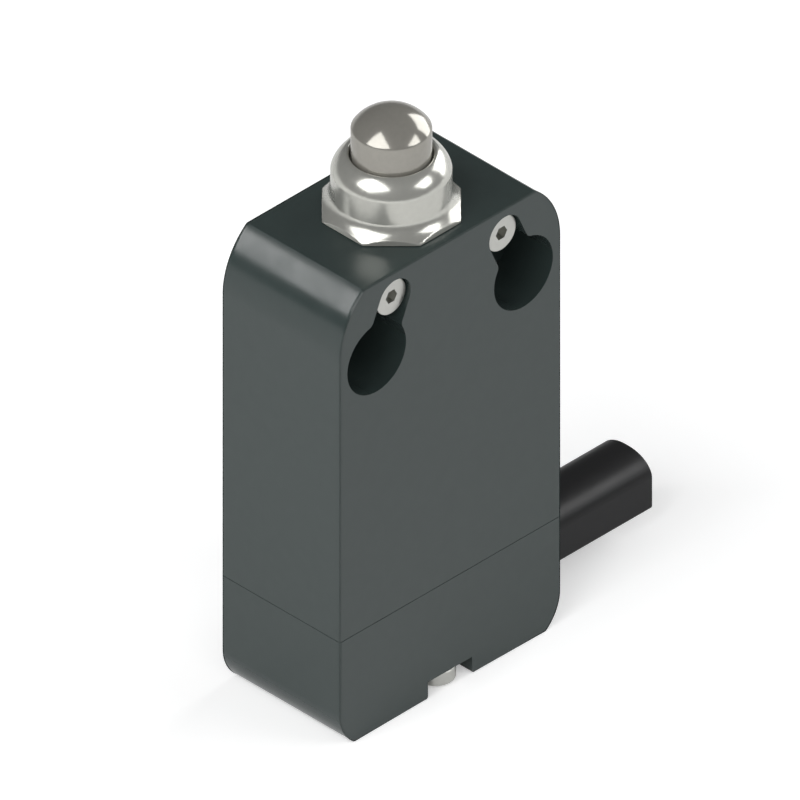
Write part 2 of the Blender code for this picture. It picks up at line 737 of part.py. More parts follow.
def make_guide(bronze, rubber):
    """Bush in the collar's foot, its seals and the scraper in the collar's mouth."""
    flange_radius = COLLAR_CHAMBER_RADIUS - FIT
    nose_bottom = BUSH_NOSE_BOTTOM - TOP + FIT
    groove = (nose_bottom + 1.0 * MM, nose_bottom + 2.1 * MM)
    groove_radius = STEM_RADIUS + 1.0 * MM
    profile = [
        (flange_radius, BUSH_FLANGE_TOP),
        (flange_radius, BUSH_FLANGE_BOTTOM),
        (BUSH_NOSE_RADIUS, BUSH_FLANGE_BOTTOM),
        (BUSH_NOSE_RADIUS, nose_bottom),
        (BUSH_BORE, nose_bottom),
        (BUSH_BORE, groove[0]),
        (groove_radius, groove[0]),
        (groove_radius, groove[1]),
        (BUSH_BORE, groove[1]),
        (BUSH_BORE, BUSH_FLANGE_TOP),
    ]
    centre = (0, CENTRE_Y, TOP)
    dress(turned("guide_bush", profile, centre, steps=28, closed=True), bronze)
    middle = (groove[0] + groove[1]) / 2
    section = arc((STEM_RADIUS + FIT / 2 + STEM_RING, middle), STEM_RING, 90, -210, 5)
    dress(turned("stem_o_ring", section, centre, steps=20, closed=True), rubber)
    middle = (COLLAR_BORE_BOTTOM - TOP - COLLAR_BARREL_LENGTH) / 2
    ring_radius = (COLLAR_CHAMBER_RADIUS + COLLAR_BORE_RADIUS) / 2
    section = arc((ring_radius, middle), COLLAR_RING, 90, -210, 5)
    dress(turned("collar_o_ring", section, centre, steps=24, closed=True), rubber)
    low, high = WIPER_GROOVE
    play = 0.1 * MM
    lip = PLUNGER_RADIUS + play
    back = WIPER_GROOVE_RADIUS - play
    section = [
        (back, high - play),
        (back, low + play),
        (lip + 0.25 * MM, low + play),
        (lip, high - 0.25 * MM),
        (lip, high - play),
    ]
    dress(turned("wiper_ring", section, centre, steps=28, closed=True), rubber)


def make_return_spring(finish):
    low = TOP + BUSH_FLANGE_TOP + FIT
    high = TOP + PLUNGER_FLANGE_BOTTOM - FIT
    return dress_wire(coil("return_spring", low, high, RETURN_SPRING), finish)


def dress_wire(obj, finish):
    obj.data.materials.append(finish)
    return obj


# --- contact unit -----------------------------------------------------------------------

BLOCK_BACK = -2.0 * MM
BLOCK_FRONT = -12.6 * MM
COVER_PLATE = 1.25 * MM
CARRIER_HALF_X = 2.6 * MM
CARRIER_HALF_Y = 3.0 * MM
WINDOW_HALF_Y = 2.0 * MM
WINDOW_TOP = 33.2 * MM
WINDOW_BOTTOM = 26.6 * MM
CARRIER_TOP = 37.2 * MM
CARRIER_BOTTOM = 25.4 * MM
SPRING_SEAT = 18.3 * MM
SPRING_SEAT_RADIUS = 2.6 * MM
SPRING_SOCKET_RADIUS = 1.9 * MM
SPRING_SOCKET_DEPTH = 0.6 * MM
CHAMBER_HALF_FLOOR = 4.4 * MM
CHAMBER_BACK_WALL = 1.6 * MM
CARRIER_PLAY = 0.3 * MM
STEM_SOCKET_FLOOR = 35.0 * MM
COVER_WINDOW_HALF_X = 3.0 * MM
COVER_WINDOW = (23.0 * MM, 34.0 * MM)
BRIDGE_HALF_LENGTH = 7.3 * MM
BRIDGE_HALF_WIDTH = 1.6 * MM
BRIDGE_HALF_WAIST = 1.3 * MM
TERMINAL_OVERLAP = 1.1 * MM
EYE_RADIUS = 0.6 * MM
EYE_HEIGHT = 1.2 * MM


def strip_cutter(name, x, side):
    low = side * (x - FIT)
    high = side * (x + STRIP_THICKNESS + FIT)
    half = STRIP_WIDTH / 2 + FIT
    return box(
        name,
        (min(low, high), CENTRE_Y - half, level(BLOCK_BOTTOM) - MM),
        (max(low, high), CENTRE_Y + half, level(CHAMBER_FLOOR) + MM),
    )


def make_contact_block(finish):
    low = level(BLOCK_BOTTOM)
    block = prism(
        "contact_block",
        [(-BLOCK_HALF_WIDTH, low), (BLOCK_HALF_WIDTH, low), (BLOCK_HALF_WIDTH, level(BLOCK_TOP)),
         (-BLOCK_HALF_WIDTH, level(BLOCK_TOP))],
        "Y", BLOCK_FRONT, BLOCK_BACK,
    )
    floor = level(CHAMBER_FLOOR)
    ledge = level(NO_BRIDGE_HEIGHT) - no_gap_below_bridge() - STRIP_THICKNESS - FIT
    right = [
        (CHAMBER_HALF_FLOOR, floor),
        (CHAMBER_HALF_FLOOR, ledge),
        (NO_LEG_X - 2 * FIT, ledge),
        (NO_LEG_X - 2 * FIT, floor),
        (CHAMBER_HALF_WIDTH, floor),
        (CHAMBER_HALF_WIDTH, level(CHAMBER_CEILING)),
    ]
    back_wall = BLOCK_BACK - CHAMBER_BACK_WALL
    cut(block, prism("contact_chamber", mirrored(right), "Y", BLOCK_FRONT - MM, back_wall))
    head = CARRIER_HALF_X + CARRIER_PLAY
    deep = CARRIER_HALF_Y + CARRIER_PLAY
    cut(
        block,
        box("carrier_opening", (-head, CENTRE_Y - deep, level(CHAMBER_CEILING) - MM),
            (head, CENTRE_Y + deep, level(BLOCK_TOP) + MM)),
        rod("spring_seat", SPRING_SEAT_RADIUS, (0, CENTRE_Y, level(SPRING_SEAT) + 5 * MM), 10 * MM, sides=24),
    )
    for side, word in ((-1, "left"), (1, "right")):
        cut(
            block,
            strip_cutter(f"nc_slot_{word}", NC_LEG_X, side),
            strip_cutter(f"no_slot_{word}", NO_LEG_X, side),
        )
    return dress(block, finish)


def no_gap_below_bridge():
    """From the open bridge's middle down to the top face of its fixed strips, at rest."""
    stroke = TRAVEL * NO_RATIO
    return BRIDGE_THICKNESS / 2 + TIP_HEIGHT + stroke + CONTACT_GAP + TIP_HEIGHT


def make_block_cover(finish):
    low = level(BLOCK_BOTTOM)
    high = level(BLOCK_TOP)
    half = BLOCK_HALF_WIDTH
    back = BLOCK_FRONT - FIT
    sill, lintel = (level(height) for height in COVER_WINDOW)
    window = mirrored([(COVER_WINDOW_HALF_X, sill), (COVER_WINDOW_HALF_X, lintel)])
    plate = prism(
        "block_cover", [(-half, low), (half, low), (half, high), (-half, high)],
        "Y", back - COVER_PLATE, back, edge=0.2 * MM,
    )
    cut(plate, prism("cover_window", window, "Y", back - COVER_PLATE - MM, back + MM))
    return dress(plate, finish)


def make_carrier(finish):
    """Pusher with a window across it for both bridges and the spring between them."""
    low = level(CARRIER_BOTTOM)
    high = level(CARRIER_TOP)
    carrier = box(
        "contact_carrier",
        (-CARRIER_HALF_X, CENTRE_Y - CARRIER_HALF_Y, low),
        (CARRIER_HALF_X, CENTRE_Y + CARRIER_HALF_Y, high),
    )
    rounding = carrier.modifiers.new("edges", "BEVEL")
    rounding.width = 0.3 * MM
    rounding.segments = 1
    cut(
        carrier,
        box("bridge_window", (-CARRIER_HALF_X - MM, CENTRE_Y - WINDOW_HALF_Y, level(WINDOW_BOTTOM)),
            (CARRIER_HALF_X + MM, CENTRE_Y + WINDOW_HALF_Y, level(WINDOW_TOP))),
        rod("stem_socket", STEM_RADIUS - STEM_NECK + FIT,
            (0, CENTRE_Y, level(STEM_SOCKET_FLOOR) + 5 * MM), 10 * MM, sides=20),
        rod("spring_socket", SPRING_SOCKET_RADIUS, (0, CENTRE_Y, low), 2 * SPRING_SOCKET_DEPTH, sides=20),
    )
    return dress(carrier, finish)


def make_bridge(name, height, finish):
    """A springy strip, waisted where it passes through the carrier."""
    corner = 0.6 * MM
    waist_end = CARRIER_HALF_X + 0.6 * MM
    taper = 0.8 * MM
    quarter = [
        (0.0, BRIDGE_HALF_WAIST),
        (waist_end, BRIDGE_HALF_WAIST),
        (waist_end + taper, BRIDGE_HALF_WIDTH),
    ]
    quarter += arc((BRIDGE_HALF_LENGTH - corner, BRIDGE_HALF_WIDTH - corner), corner, 90, 0, 3)
    right = quarter + [(x, -y) for x, y in reversed(quarter)]
    outline = right + [(-x, y) for x, y in reversed(right) if x > 1e-9]
    place = [(x, CENTRE_Y + y) for x, y in outline]
    z = level(height)
    strip = prism(name, place, "Z", z - BRIDGE_THICKNESS / 2, z + BRIDGE_THICKNESS / 2)
    return dress(strip, finish)


def contact_tip(name, x, z, up, finish):
    """A silver tip standing on a strip at z, with a shallow dome, facing up or down."""
    rim = TIP_HEIGHT * 0.6
    profile = [
        (0.0, TIP_HEIGHT),
        (TIP_RADIUS * 0.55, TIP_HEIGHT * 0.95),
        (TIP_RADIUS, rim),
        (TIP_RADIUS, 0.0),
        (0.0, 0.0),
    ]
    tip = turned(name, profile, (x, CENTRE_Y, z), steps=12)
    if not up:
        tip.rotation_euler = (math.pi, 0.0, 0.0)
    return dress(tip, finish)


def terminal(name, side, leg_x, arm_z, finish):
    """A flat strip: a level arm towards the middle, a bend, and a leg down to its tail."""
    bend = 0.7 * MM
    inner_end = TIP_X - TERMINAL_OVERLAP
    thick = STRIP_THICKNESS
    tail = level(TAIL_HEIGHT)
    top = arm_z + thick / 2
    outer = leg_x + thick
    outline = [(inner_end, top)]
    outline += arc((outer - bend, top - bend), bend, 90, 0, 4)
    outline += [(outer, tail), (leg_x, tail), (leg_x, top - thick), (inner_end, top - thick)]
    strip = prism(name, [(side * x, z) for x, z in outline], "Y",
                  CENTRE_Y - STRIP_WIDTH / 2, CENTRE_Y + STRIP_WIDTH / 2)
    eye = (side * (leg_x + thick / 2), CENTRE_Y, tail + EYE_HEIGHT)
    cut(strip, rod(name + "_eye", EYE_RADIUS, eye, 2 * MM, "X", 12))
    return dress(strip, finish)


def make_contacts(copper, silver):
    nc_tip_face = level(NC_BRIDGE_HEIGHT) + BRIDGE_THICKNESS / 2 + TIP_HEIGHT
    nc_arm = nc_tip_face + CONTACT_GAP + TIP_HEIGHT + STRIP_THICKNESS / 2 + FIT / 3
    no_arm = level(NO_BRIDGE_HEIGHT) - no_gap_below_bridge() - STRIP_THICKNESS / 2
    skin = 0.04 * MM
    moving = {"nc": [], "no": []}
    for side, word in ((-1, "left"), (1, "right")):
        x = side * TIP_X
        terminal(f"nc_terminal_{word}", side, NC_LEG_X, nc_arm, copper)
        terminal(f"no_terminal_{word}", side, NO_LEG_X, no_arm, copper)
        contact_tip(f"nc_fixed_tip_{word}", x, nc_arm - STRIP_THICKNESS / 2 - skin, False, silver)
        contact_tip(f"no_fixed_tip_{word}", x, no_arm + STRIP_THICKNESS / 2 + skin, True, silver)
        nc_top = level(NC_BRIDGE_HEIGHT) + BRIDGE_THICKNESS / 2 + skin
        no_under = level(NO_BRIDGE_HEIGHT) - BRIDGE_THICKNESS / 2 - skin
        moving["nc"].append(contact_tip(f"nc_moving_tip_{word}", x, nc_top, True, silver))
        moving["no"].append(contact_tip(f"no_moving_tip_{word}", x, no_under, False, silver))
    moving["nc"].append(make_bridge("nc_bridge", NC_BRIDGE_HEIGHT, copper))
    moving["no"].append(make_bridge("no_bridge", NO_BRIDGE_HEIGHT, copper))
    return moving


def make_contact_springs(finish):
    half = BRIDGE_THICKNESS / 2 + FIT
    low, high = level(NO_BRIDGE_HEIGHT) + half, level(NC_BRIDGE_HEIGHT) - half
    between = coil("contact_spring", low, high, CONTACT_SPRING)
    socket_roof = level(CARRIER_BOTTOM) + SPRING_SOCKET_DEPTH
    under = coil("carrier_spring", level(SPRING_SEAT) + FIT, socket_roof - FIT, CARRIER_SPRING)
    return dress_wire(between, finish), dress_wire(under, finish)


# --- cable ------------------------------------------------------------------------------

CORE_COLOURS = {
    "brown": (0.13, 0.045, 0.016),
    "blue": (0.012, 0.06, 0.3),
    "black": (0.01, 0.01, 0.01),
    "grey": (0.25, 0.25, 0.25),
}


def core_places():
    """Where each core lies in the jacket, and the terminal leg that it is soldered to."""
    middle = (level(JACKET_BOTTOM) + level(JACKET_TOP)) / 2
    return {
        "brown": (-CORE_OFFSET, middle + CORE_OFFSET, -1, NO_LEG_X),
        "blue": (CORE_OFFSET, middle + CORE_OFFSET, 1, NC_LEG_X),
        "black": (-CORE_OFFSET, middle - CORE_OFFSET, -1, NC_LEG_X),
        "grey": (CORE_OFFSET, middle - CORE_OFFSET, 1, NO_LEG_X),
    }


def core_route(y, z, side, leg_x):
    """Knots from the jacket's inner end to just under the terminal's tail."""
    tail_x = side * (leg_x + STRIP_THICKNESS / 2)
    tail_z = level(TAIL_HEIGHT) - 0.3 * MM
    plane = CENTRE_Y + y
    start = JACKET_START_X - MM
    if side < 0:
        bends = [(start - 4.0 * MM, z), (tail_x + 5.5 * MM, z + 0.3 * MM), (tail_x + 1.4 * MM, z + 2.4 * MM)]
    else:
        loop_x, loop_top = (4.4 * MM, level(10.4 * MM)) if leg_x == NC_LEG_X else (1.8 * MM, level(12.4 * MM))
        bends = [(loop_x + 1.6 * MM, z), (loop_x, (z + loop_top) / 2), (loop_x + 1.8 * MM, loop_top)]
        if leg_x == NC_LEG_X:
            bends.append((tail_x - 1.2 * MM, loop_top + 0.6 * MM))
    knots = [Vector((start, plane, z))] + [Vector((bend_x, plane, bend_z)) for bend_x, bend_z in bends]
    return knots + [Vector((tail_x, CENTRE_Y + y / 3, tail_z - 1.0 * MM)), Vector((tail_x, CENTRE_Y, tail_z))]


def make_cable(jacket_finish):
    holes = [
        arc((CENTRE_Y + y, z), CORE_BORE_RADIUS, 0, 330, 11) for y, z, _, _ in core_places().values()
    ]
    jacket = prism("cable_jacket", jacket_outline(), "X", JACKET_START_X, JACKET_END_X, holes=holes)
    dress(jacket, jacket_finish)
    for colour, (y, z, side, leg_x) in core_places().items():
        straight = [Vector((JACKET_END_X, CENTRE_Y + y, z)), Vector((JACKET_START_X, CENTRE_Y + y, z))]
        points = straight + smooth_path(core_route(y, z, side, leg_x))
        core = wire(f"core_{colour}", points, CORE_RADIUS, 1)
        dress_wire(core, material(f"core_{colour}", CORE_COLOURS[colour], 0.4))


def make_grommet(finish):
    """Soft ring between the jacket and the outlet in the foot's wall."""
    outer = jacket_outline(OUTLET_MARGIN)
    inner = jacket_outline(FIT)
    start = WIDTH / 2 - GROMMET_DEPTH
    return dress(prism("cable_grommet", outer, "X", start, WIDTH / 2, holes=[inner]), finish)


def make_clamp(finish):
    """Arched bar that stands on the foot's floor and holds the jacket down."""
    half = JACKET_HALF_WIDTH + CLAMP_WALL
    foot = FOOT + COVER_FLOOR + FIT
    crown = level(CLAMP_TOP)
    outline = [
        (CENTRE_Y - half, foot), (CENTRE_Y + half, foot),
        (CENTRE_Y + half, crown - MM), (CENTRE_Y + half - MM, crown),
        (CENTRE_Y - half + MM, crown), (CENTRE_Y - half, crown - MM),
    ]
    start, end = CLAMP_X
    clamp = prism("cable_clamp", outline, "X", start, end)
    cut(clamp, prism("clamp_arch", jacket_outline(FIT), "X", start - MM, end + MM))
    return dress(clamp, finish)


# --- assembly ---------------------------------------------------------------------------

clear_scene()
PARTS = collection("limit_switch")
CUTTERS = collection("limit_switch_cutters", hidden=True)

MOULDED = material("moulded_grey", (0.075, 0.088, 0.086), 0.45)
STEEL = material("polished_steel", (0.56, 0.56, 0.52), 0.18, 1.0)
PLUNGER_STEEL = material("ground_steel", (0.38, 0.35, 0.32), 0.3, 1.0)
SCREW_STEEL = material("zinc_steel", (0.5, 0.5, 0.47), 0.35, 1.0)
BRASS = material("brass", (0.55, 0.38, 0.13), 0.35, 1.0)
COPPER = material("contact_bronze", (0.5, 0.27, 0.12), 0.35, 1.0)
SILVER = material("contact_silver", (0.72, 0.71, 0.68), 0.3, 1.0)
SPRING_WIRE = material("spring_wire", (0.42, 0.42, 0.42), 0.3, 1.0)
RUBBER = material("seal_rubber", (0.012, 0.012, 0.012), 0.7)
BLOCK_PLASTIC = material("block_plastic", (0.03, 0.03, 0.035), 0.5)
CARRIER_PLASTIC = material("carrier_plastic", (0.6, 0.58, 0.5), 0.45)
JACKET_PLASTIC = material("jacket_black", (0.02, 0.02, 0.021), 0.4)

make_housing(MOULDED)
make_bottom_cover(MOULDED)
make_gasket(RUBBER)
make_fasteners(SCREW_STEEL, BRASS)
make_collar(STEEL)
make_guide(BRASS, RUBBER)
make_return_spring(SPRING_WIRE)
make_contact_block(BLOCK_PLASTIC)
make_block_cover(BLOCK_PLASTIC)
BRIDGES = make_contacts(COPPER, SILVER)
make_contact_springs(SPRING_WIRE)
make_cable(JACKET_PLASTIC)
make_grommet(RUBBER)
make_clamp(BLOCK_PLASTIC)
group_under("plunger_slide", (0, CENTRE_Y, TOP), [make_plunger(PLUNGER_STEEL), make_carrier(CARRIER_PLASTIC)])
group_under("nc_bridge_slide", (0, CENTRE_Y, level(NC_BRIDGE_HEIGHT)), BRIDGES["nc"])
group_under("no_bridge_slide", (0, CENTRE_Y, level(NO_BRIDGE_HEIGHT)), BRIDGES["no"])
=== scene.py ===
"""Studio scene of a compact limit switch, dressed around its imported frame.

All lengths are in metres, in the frame's own axes: +X towards the cable, -Y out of the front
face with the keyhole recesses, +Z along the plunger. The origin is on the back face, midway
between the two fixing holes.
"""

import json
import logging
import math
from collections.abc import Callable, Iterable, Sequence
from dataclasses import dataclass
from enum import Enum
from typing import Any

import bmesh
import bpy
from mathutils import Matrix, Vector


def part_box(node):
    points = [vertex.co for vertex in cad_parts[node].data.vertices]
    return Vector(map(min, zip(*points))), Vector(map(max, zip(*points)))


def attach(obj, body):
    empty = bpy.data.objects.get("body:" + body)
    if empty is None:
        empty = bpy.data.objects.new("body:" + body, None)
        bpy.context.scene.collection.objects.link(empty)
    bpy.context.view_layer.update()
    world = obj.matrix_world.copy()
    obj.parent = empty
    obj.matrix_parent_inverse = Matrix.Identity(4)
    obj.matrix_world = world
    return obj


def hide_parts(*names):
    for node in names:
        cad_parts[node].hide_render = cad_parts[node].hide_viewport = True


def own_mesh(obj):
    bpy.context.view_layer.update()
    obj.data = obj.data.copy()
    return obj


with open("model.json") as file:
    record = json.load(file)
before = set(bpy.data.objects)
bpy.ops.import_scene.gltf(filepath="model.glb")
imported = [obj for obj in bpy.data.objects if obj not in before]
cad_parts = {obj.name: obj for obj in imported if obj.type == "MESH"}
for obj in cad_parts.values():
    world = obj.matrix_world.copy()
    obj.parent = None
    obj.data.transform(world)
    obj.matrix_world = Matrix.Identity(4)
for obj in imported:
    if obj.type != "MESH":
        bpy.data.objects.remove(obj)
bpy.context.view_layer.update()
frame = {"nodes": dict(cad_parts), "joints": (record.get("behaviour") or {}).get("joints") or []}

LOG = logging.getLogger("limit_switch")

MM = 0.001
WELD = 1e-6
FINE_WELD = 1e-7
Outline = list[tuple[float, float]]

HOUSING_LOW, HOUSING_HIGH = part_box("housing")
FOOT_LOW, FOOT_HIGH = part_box("bottom_cover")
JACKET_LOW, JACKET_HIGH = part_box("cable_jacket")
FRONT = HOUSING_LOW.y
BACK = HOUSING_HIGH.y
TOP = HOUSING_HIGH.z
FLOOR = FOOT_LOW.z
SIDE = HOUSING_HIGH.x
AXIS_Y = (FRONT + BACK) / 2.0
SEAM_HALF_GAP = 0.01 * MM
HOUSING_SEAM = (HOUSING_LOW.z + FOOT_HIGH.z) / 2.0 + SEAM_HALF_GAP
FOOT_SEAM = HOUSING_SEAM - 2.0 * SEAM_HALF_GAP


class Slot(Enum):
    """The record's material slots."""

    MOULDED = "moulded_grey"
    COLLAR = "polished_steel"
    PLUNGER = "ground_steel"
    SCREW = "zinc_steel"
    BRASS = "brass"
    BRONZE = "contact_bronze"
    SILVER = "contact_silver"
    WIRE = "spring_wire"
    RUBBER = "seal_rubber"
    BLOCK = "block_plastic"
    CARRIER = "carrier_plastic"
    JACKET = "jacket_black"
    BROWN = "core_brown"
    BLUE = "core_blue"
    BLACK = "core_black"
    GREY = "core_grey"


class Axis(Enum):
    """A frame axis that an outline is extruded or turned along."""

    X = 0
    Y = 1
    Z = 2

    def place(self, across: float, up: float, along: float) -> Vector:
        """Makes a point from coordinates in the outline's plane and one along the axis.

        Args:
            across: First coordinate in the plane.
            up: Second coordinate in the plane.
            along: Coordinate along the axis.

        Returns:
            The point.
        """
        if self is Axis.X:
            return Vector((along, across, up))
        if self is Axis.Y:
            return Vector((across, along, up))
        return Vector((across, up, along))

    @property
    def turn(self) -> tuple[float, float, float]:
        """The turn that takes +Z to this axis.

        Returns:
            The Euler angles.
        """
        if self is Axis.X:
            return (0.0, math.pi / 2.0, 0.0)
        if self is Axis.Y:
            return (-math.pi / 2.0, 0.0, 0.0)
        return (0.0, 0.0, 0.0)


class Marks(Enum):
    """What a process leaves on a surface."""

    GRAIN = "fine_grain"
    TURNED = "turning_marks"
    DRAWN = "drawing_lines"


# --- node trees ----------------------------------------------------------------------------


class NodeKit:
    """Adds and joins nodes in one tree, so that a tree reads as a list of steps."""

    def __init__(self, tree: bpy.types.NodeTree) -> None:
        """Takes the tree that is built."""
        self.tree = tree

    def socket(self, name: str, kind: str, default: Any = None, output: bool = False) -> None:
        """Adds a named socket to the tree's interface.

        Args:
            name: The socket's name.
            kind: The last word of Blender's socket type, such as Float.
            default: Its value while nothing is linked or set.
            output: True for an output.
        """
        way = "OUTPUT" if output else "INPUT"
        made = self.tree.interface.new_socket(name, in_out=way, socket_type=f"NodeSocket{kind}")
        if default is not None:
            made.default_value = default

    def add(
        self, kind: str, inputs: dict[str | int, Any] | None = None, **settings: Any
    ) -> bpy.types.Node:
        """Adds a node.

        Args:
            kind: Blender's node type.
            inputs: A value or a socket for each named input.
            settings: Values of the node's own properties.

        Returns:
            The node.
        """
        node = self.tree.nodes.new(kind)
        for key, value in settings.items():
            setattr(node, key, value)
        for key, value in (inputs or {}).items():
            self.feed(node.inputs[key], value)
        return node

    def feed(self, socket: bpy.types.NodeSocket, value: Any) -> None:
        """Links a socket to the input, or sets the input's own value.

        Args:
            socket: The input.
            value: A socket or a plain value.
        """
        if isinstance(value, bpy.types.NodeSocket):
            self.tree.links.new(value, socket)
        else:
            socket.default_value = value

    def math(self, operation: str, *terms: Any) -> bpy.types.NodeSocket:
        """Adds one step of arithmetic.

        Args:
            operation: Blender's name for it.
            terms: Numbers or sockets.

        Returns:
            The result's socket.
        """
        node = self.tree.nodes.new("ShaderNodeMath")
        node.operation = operation
        for socket, term in zip(node.inputs, terms):
            self.feed(socket, term)
        return node.outputs[0]

    def noise(
        self, vector: Any, scale: Any, detail: float = 2.0, **settings: Any
    ) -> bpy.types.NodeSocket:
        """A noise texture's factor."""
        inputs = {"Vector": vector, "Scale": scale, "Detail": detail}
        return self.add("ShaderNodeTexNoise", inputs, **settings).outputs[0]


BROAD_MASK_SHARE = 0.08
COARSE_GRAIN_SHARE = 0.35
FINE_GRAIN_WEIGHT = 0.7
DRAWN_STRETCH = 0.02
SMUDGE_SPREAD = (0.42, 0.68)


def shader_group(name: str, height: Callable[[NodeKit, Any, Any], Any]) -> bpy.types.NodeTree:
    """A surface effect with a fine height and a broad mask.

    Args:
        name: The group's name.

    Returns:
        The shader node group, with inputs Vector and Pitch and outputs Height and Mask.
    """
    kit = NodeKit(bpy.data.node_groups.new(name, "ShaderNodeTree"))
    kit.socket("Vector", "Vector")
    kit.socket("Pitch", "Float", 0.25 * MM)
    kit.socket("Height", "Float", output=True)
    kit.socket("Mask", "Float", output=True)
    given = kit.add("NodeGroupInput").outputs
    broad = kit.noise(given["Vector"], kit.math("DIVIDE", BROAD_MASK_SHARE, given["Pitch"]), 3.0)
    result = height(kit, given["Vector"], given["Pitch"])
    kit.add("NodeGroupOutput", {"Height": result, "Mask": broad})
    return kit.tree


def grain_height(kit: NodeKit, place: Any, pitch: Any) -> Any:
    """Fine spark-eroded grain, as a mould leaves it.

    Args:
        kit: The tree's kit.
        place: Where on the surface.
        pitch: The grain's size.

    Returns:
        The height's socket.
    """
    fine = kit.noise(place, kit.math("DIVIDE", 1.0, pitch), 3.0)
    coarse = kit.noise(place, kit.math("DIVIDE", COARSE_GRAIN_SHARE, pitch), 1.0)
    fine_part = kit.math("MULTIPLY", fine, FINE_GRAIN_WEIGHT)
    return kit.math("ADD", fine_part, kit.math("MULTIPLY", coarse, 1.0 - FINE_GRAIN_WEIGHT))


def turning_height(kit: NodeKit, place: Any, pitch: Any) -> Any:
    """Rings about the local Z axis, as a lathe leaves them.

    Args:
        kit: The tree's kit.
        place: Where on the surface.
        pitch: The rings' spacing.

    Returns:
        The height's socket.
    """
    parts = kit.add("ShaderNodeSeparateXYZ", {0: place}).outputs
    squares = [kit.math("MULTIPLY", part, part) for part in parts[:2]]
    distance = kit.math("SQRT", kit.math("ADD", *squares))
    ring = kit.add("ShaderNodeCombineXYZ", {0: distance, 1: parts[2]}).outputs[0]
    return kit.noise(ring, kit.math("DIVIDE", 1.0, pitch), 2.0, noise_dimensions="2D")


def drawing_height(kit: NodeKit, place: Any, pitch: Any) -> Any:
    """Long lines along the local Z axis, as a die leaves them.

    Args:
        kit: The tree's kit.
        place: Where on the surface.
        pitch: The lines' spacing.

    Returns:
        The height's socket.
    """
    mapping = {"Vector": place, "Scale": (1.0, 1.0, DRAWN_STRETCH)}
    stretch = kit.add("ShaderNodeMapping", mapping).outputs[0]
    return kit.noise(stretch, kit.math("DIVIDE", 1.0, pitch), 3.0)


MARK_GROUPS = {
    Marks.GRAIN: shader_group(Marks.GRAIN.value, grain_height),
    Marks.TURNED: shader_group(Marks.TURNED.value, turning_height),
    Marks.DRAWN: shader_group(Marks.DRAWN.value, drawing_height),
}


def handling_group() -> bpy.types.NodeTree:
    """Faint smudges that handling leaves, as a mask.

    Returns:
        The shader node group, with inputs Vector and Size and the output Mask.
    """
    kit = NodeKit(bpy.data.node_groups.new("handling_smudges", "ShaderNodeTree"))
    kit.socket("Vector", "Vector")
    kit.socket("Size", "Float", 6.0 * MM)
    kit.socket("Mask", "Float", output=True)
    given = kit.add("NodeGroupInput").outputs
    cloud = kit.noise(given["Vector"], kit.math("DIVIDE", 1.0, given["Size"]), 4.0)
    limits = {"Value": cloud, "From Min": SMUDGE_SPREAD[0], "From Max": SMUDGE_SPREAD[1]}
    mask = kit.add("ShaderNodeMapRange", limits, interpolation_type="SMOOTHSTEP").outputs[0]
    kit.add("NodeGroupOutput", {"Mask": mask})
    return kit.tree


HANDLING = handling_group()


# --- finishes ------------------------------------------------------------------------------


@dataclass(frozen=True)
class Finish:
    """A material of the switch and how its surface was made.

    Attributes:
        slot: The record's slot.
        colour: Base colour, linear.
        roughness: Mean roughness.
        metallic: 1 for bare metal.
        marks: The process marks.
        pitch: Their spacing.
        depth: Their height, from low to high.
        fade: Share by which the colour darkens in the mask's low places.
        smudge: How much handling changes the roughness.
        coat: Weight of a clear skin.
        gloss: Specular level, 0.5 for common plastic.
    """

    slot: Slot
    colour: tuple[float, float, float]
    roughness: float
    metallic: float = 0.0
    marks: Marks = Marks.GRAIN
    pitch: float = 0.2 * MM
    depth: float = 0.004 * MM
    fade: float = 0.06
    smudge: float = 0.05
    coat: float = 0.0
    gloss: float = 0.5

    def material(
        self, centre: Sequence[float] = (0.0, 0.0, 0.0), axis: Axis = Axis.Z
    ) -> bpy.types.Material:
        """Builds the material for one piece.

        Args:
            centre: A point on the axis that turned or drawn marks follow.
            axis: That axis.

        Returns:
            The material.
        """
        made = bpy.data.materials.new(self.slot.value)
        made.use_nodes = True
        kit = NodeKit(made.node_tree)
        shader = made.node_tree.nodes["Principled BSDF"]
        place = kit.add("ShaderNodeTexCoord").outputs["Object"]
        mapping = {"Vector": place, "Location": tuple(centre), "Rotation": axis.turn}
        local = kit.add("ShaderNodeMapping", mapping, vector_type="TEXTURE").outputs[0]
        marks = kit.add("ShaderNodeGroup", node_tree=MARK_GROUPS[self.marks])
        kit.feed(marks.inputs["Vector"], local)
        marks.inputs["Pitch"].default_value = self.pitch
        smudges = kit.add("ShaderNodeGroup", node_tree=HANDLING)
        kit.feed(smudges.inputs["Vector"], place)
        blend = kit.add("ShaderNodeMix", data_type="RGBA")
        kit.feed(blend.inputs["Factor"], marks.outputs["Mask"])
        for colour_input, share in ((6, 1.0 - self.fade), (7, 1.0 + self.fade)):
            colour = (*(part * share for part in self.colour), 1.0)
            blend.inputs[colour_input].default_value = colour
        kit.feed(shader.inputs["Base Color"], blend.outputs[2])
        wear = kit.math("MULTIPLY", smudges.outputs["Mask"], self.smudge)
        uneven = kit.math("MULTIPLY", kit.math("SUBTRACT", marks.outputs["Mask"], 0.5), self.smudge)
        roughness = kit.math("ADD", kit.math("ADD", wear, uneven), self.roughness)
        kit.feed(shader.inputs["Roughness"], roughness)
        relief = {"Height": marks.outputs["Height"], "Distance": self.depth}
        kit.feed(shader.inputs["Normal"], kit.add("ShaderNodeBump", relief).outputs[0])
        shader.inputs["Metallic"].default_value = self.metallic
        shader.inputs["Coat Weight"].default_value = self.coat
        shader.inputs["Specular IOR Level"].default_value = self.gloss
        return made


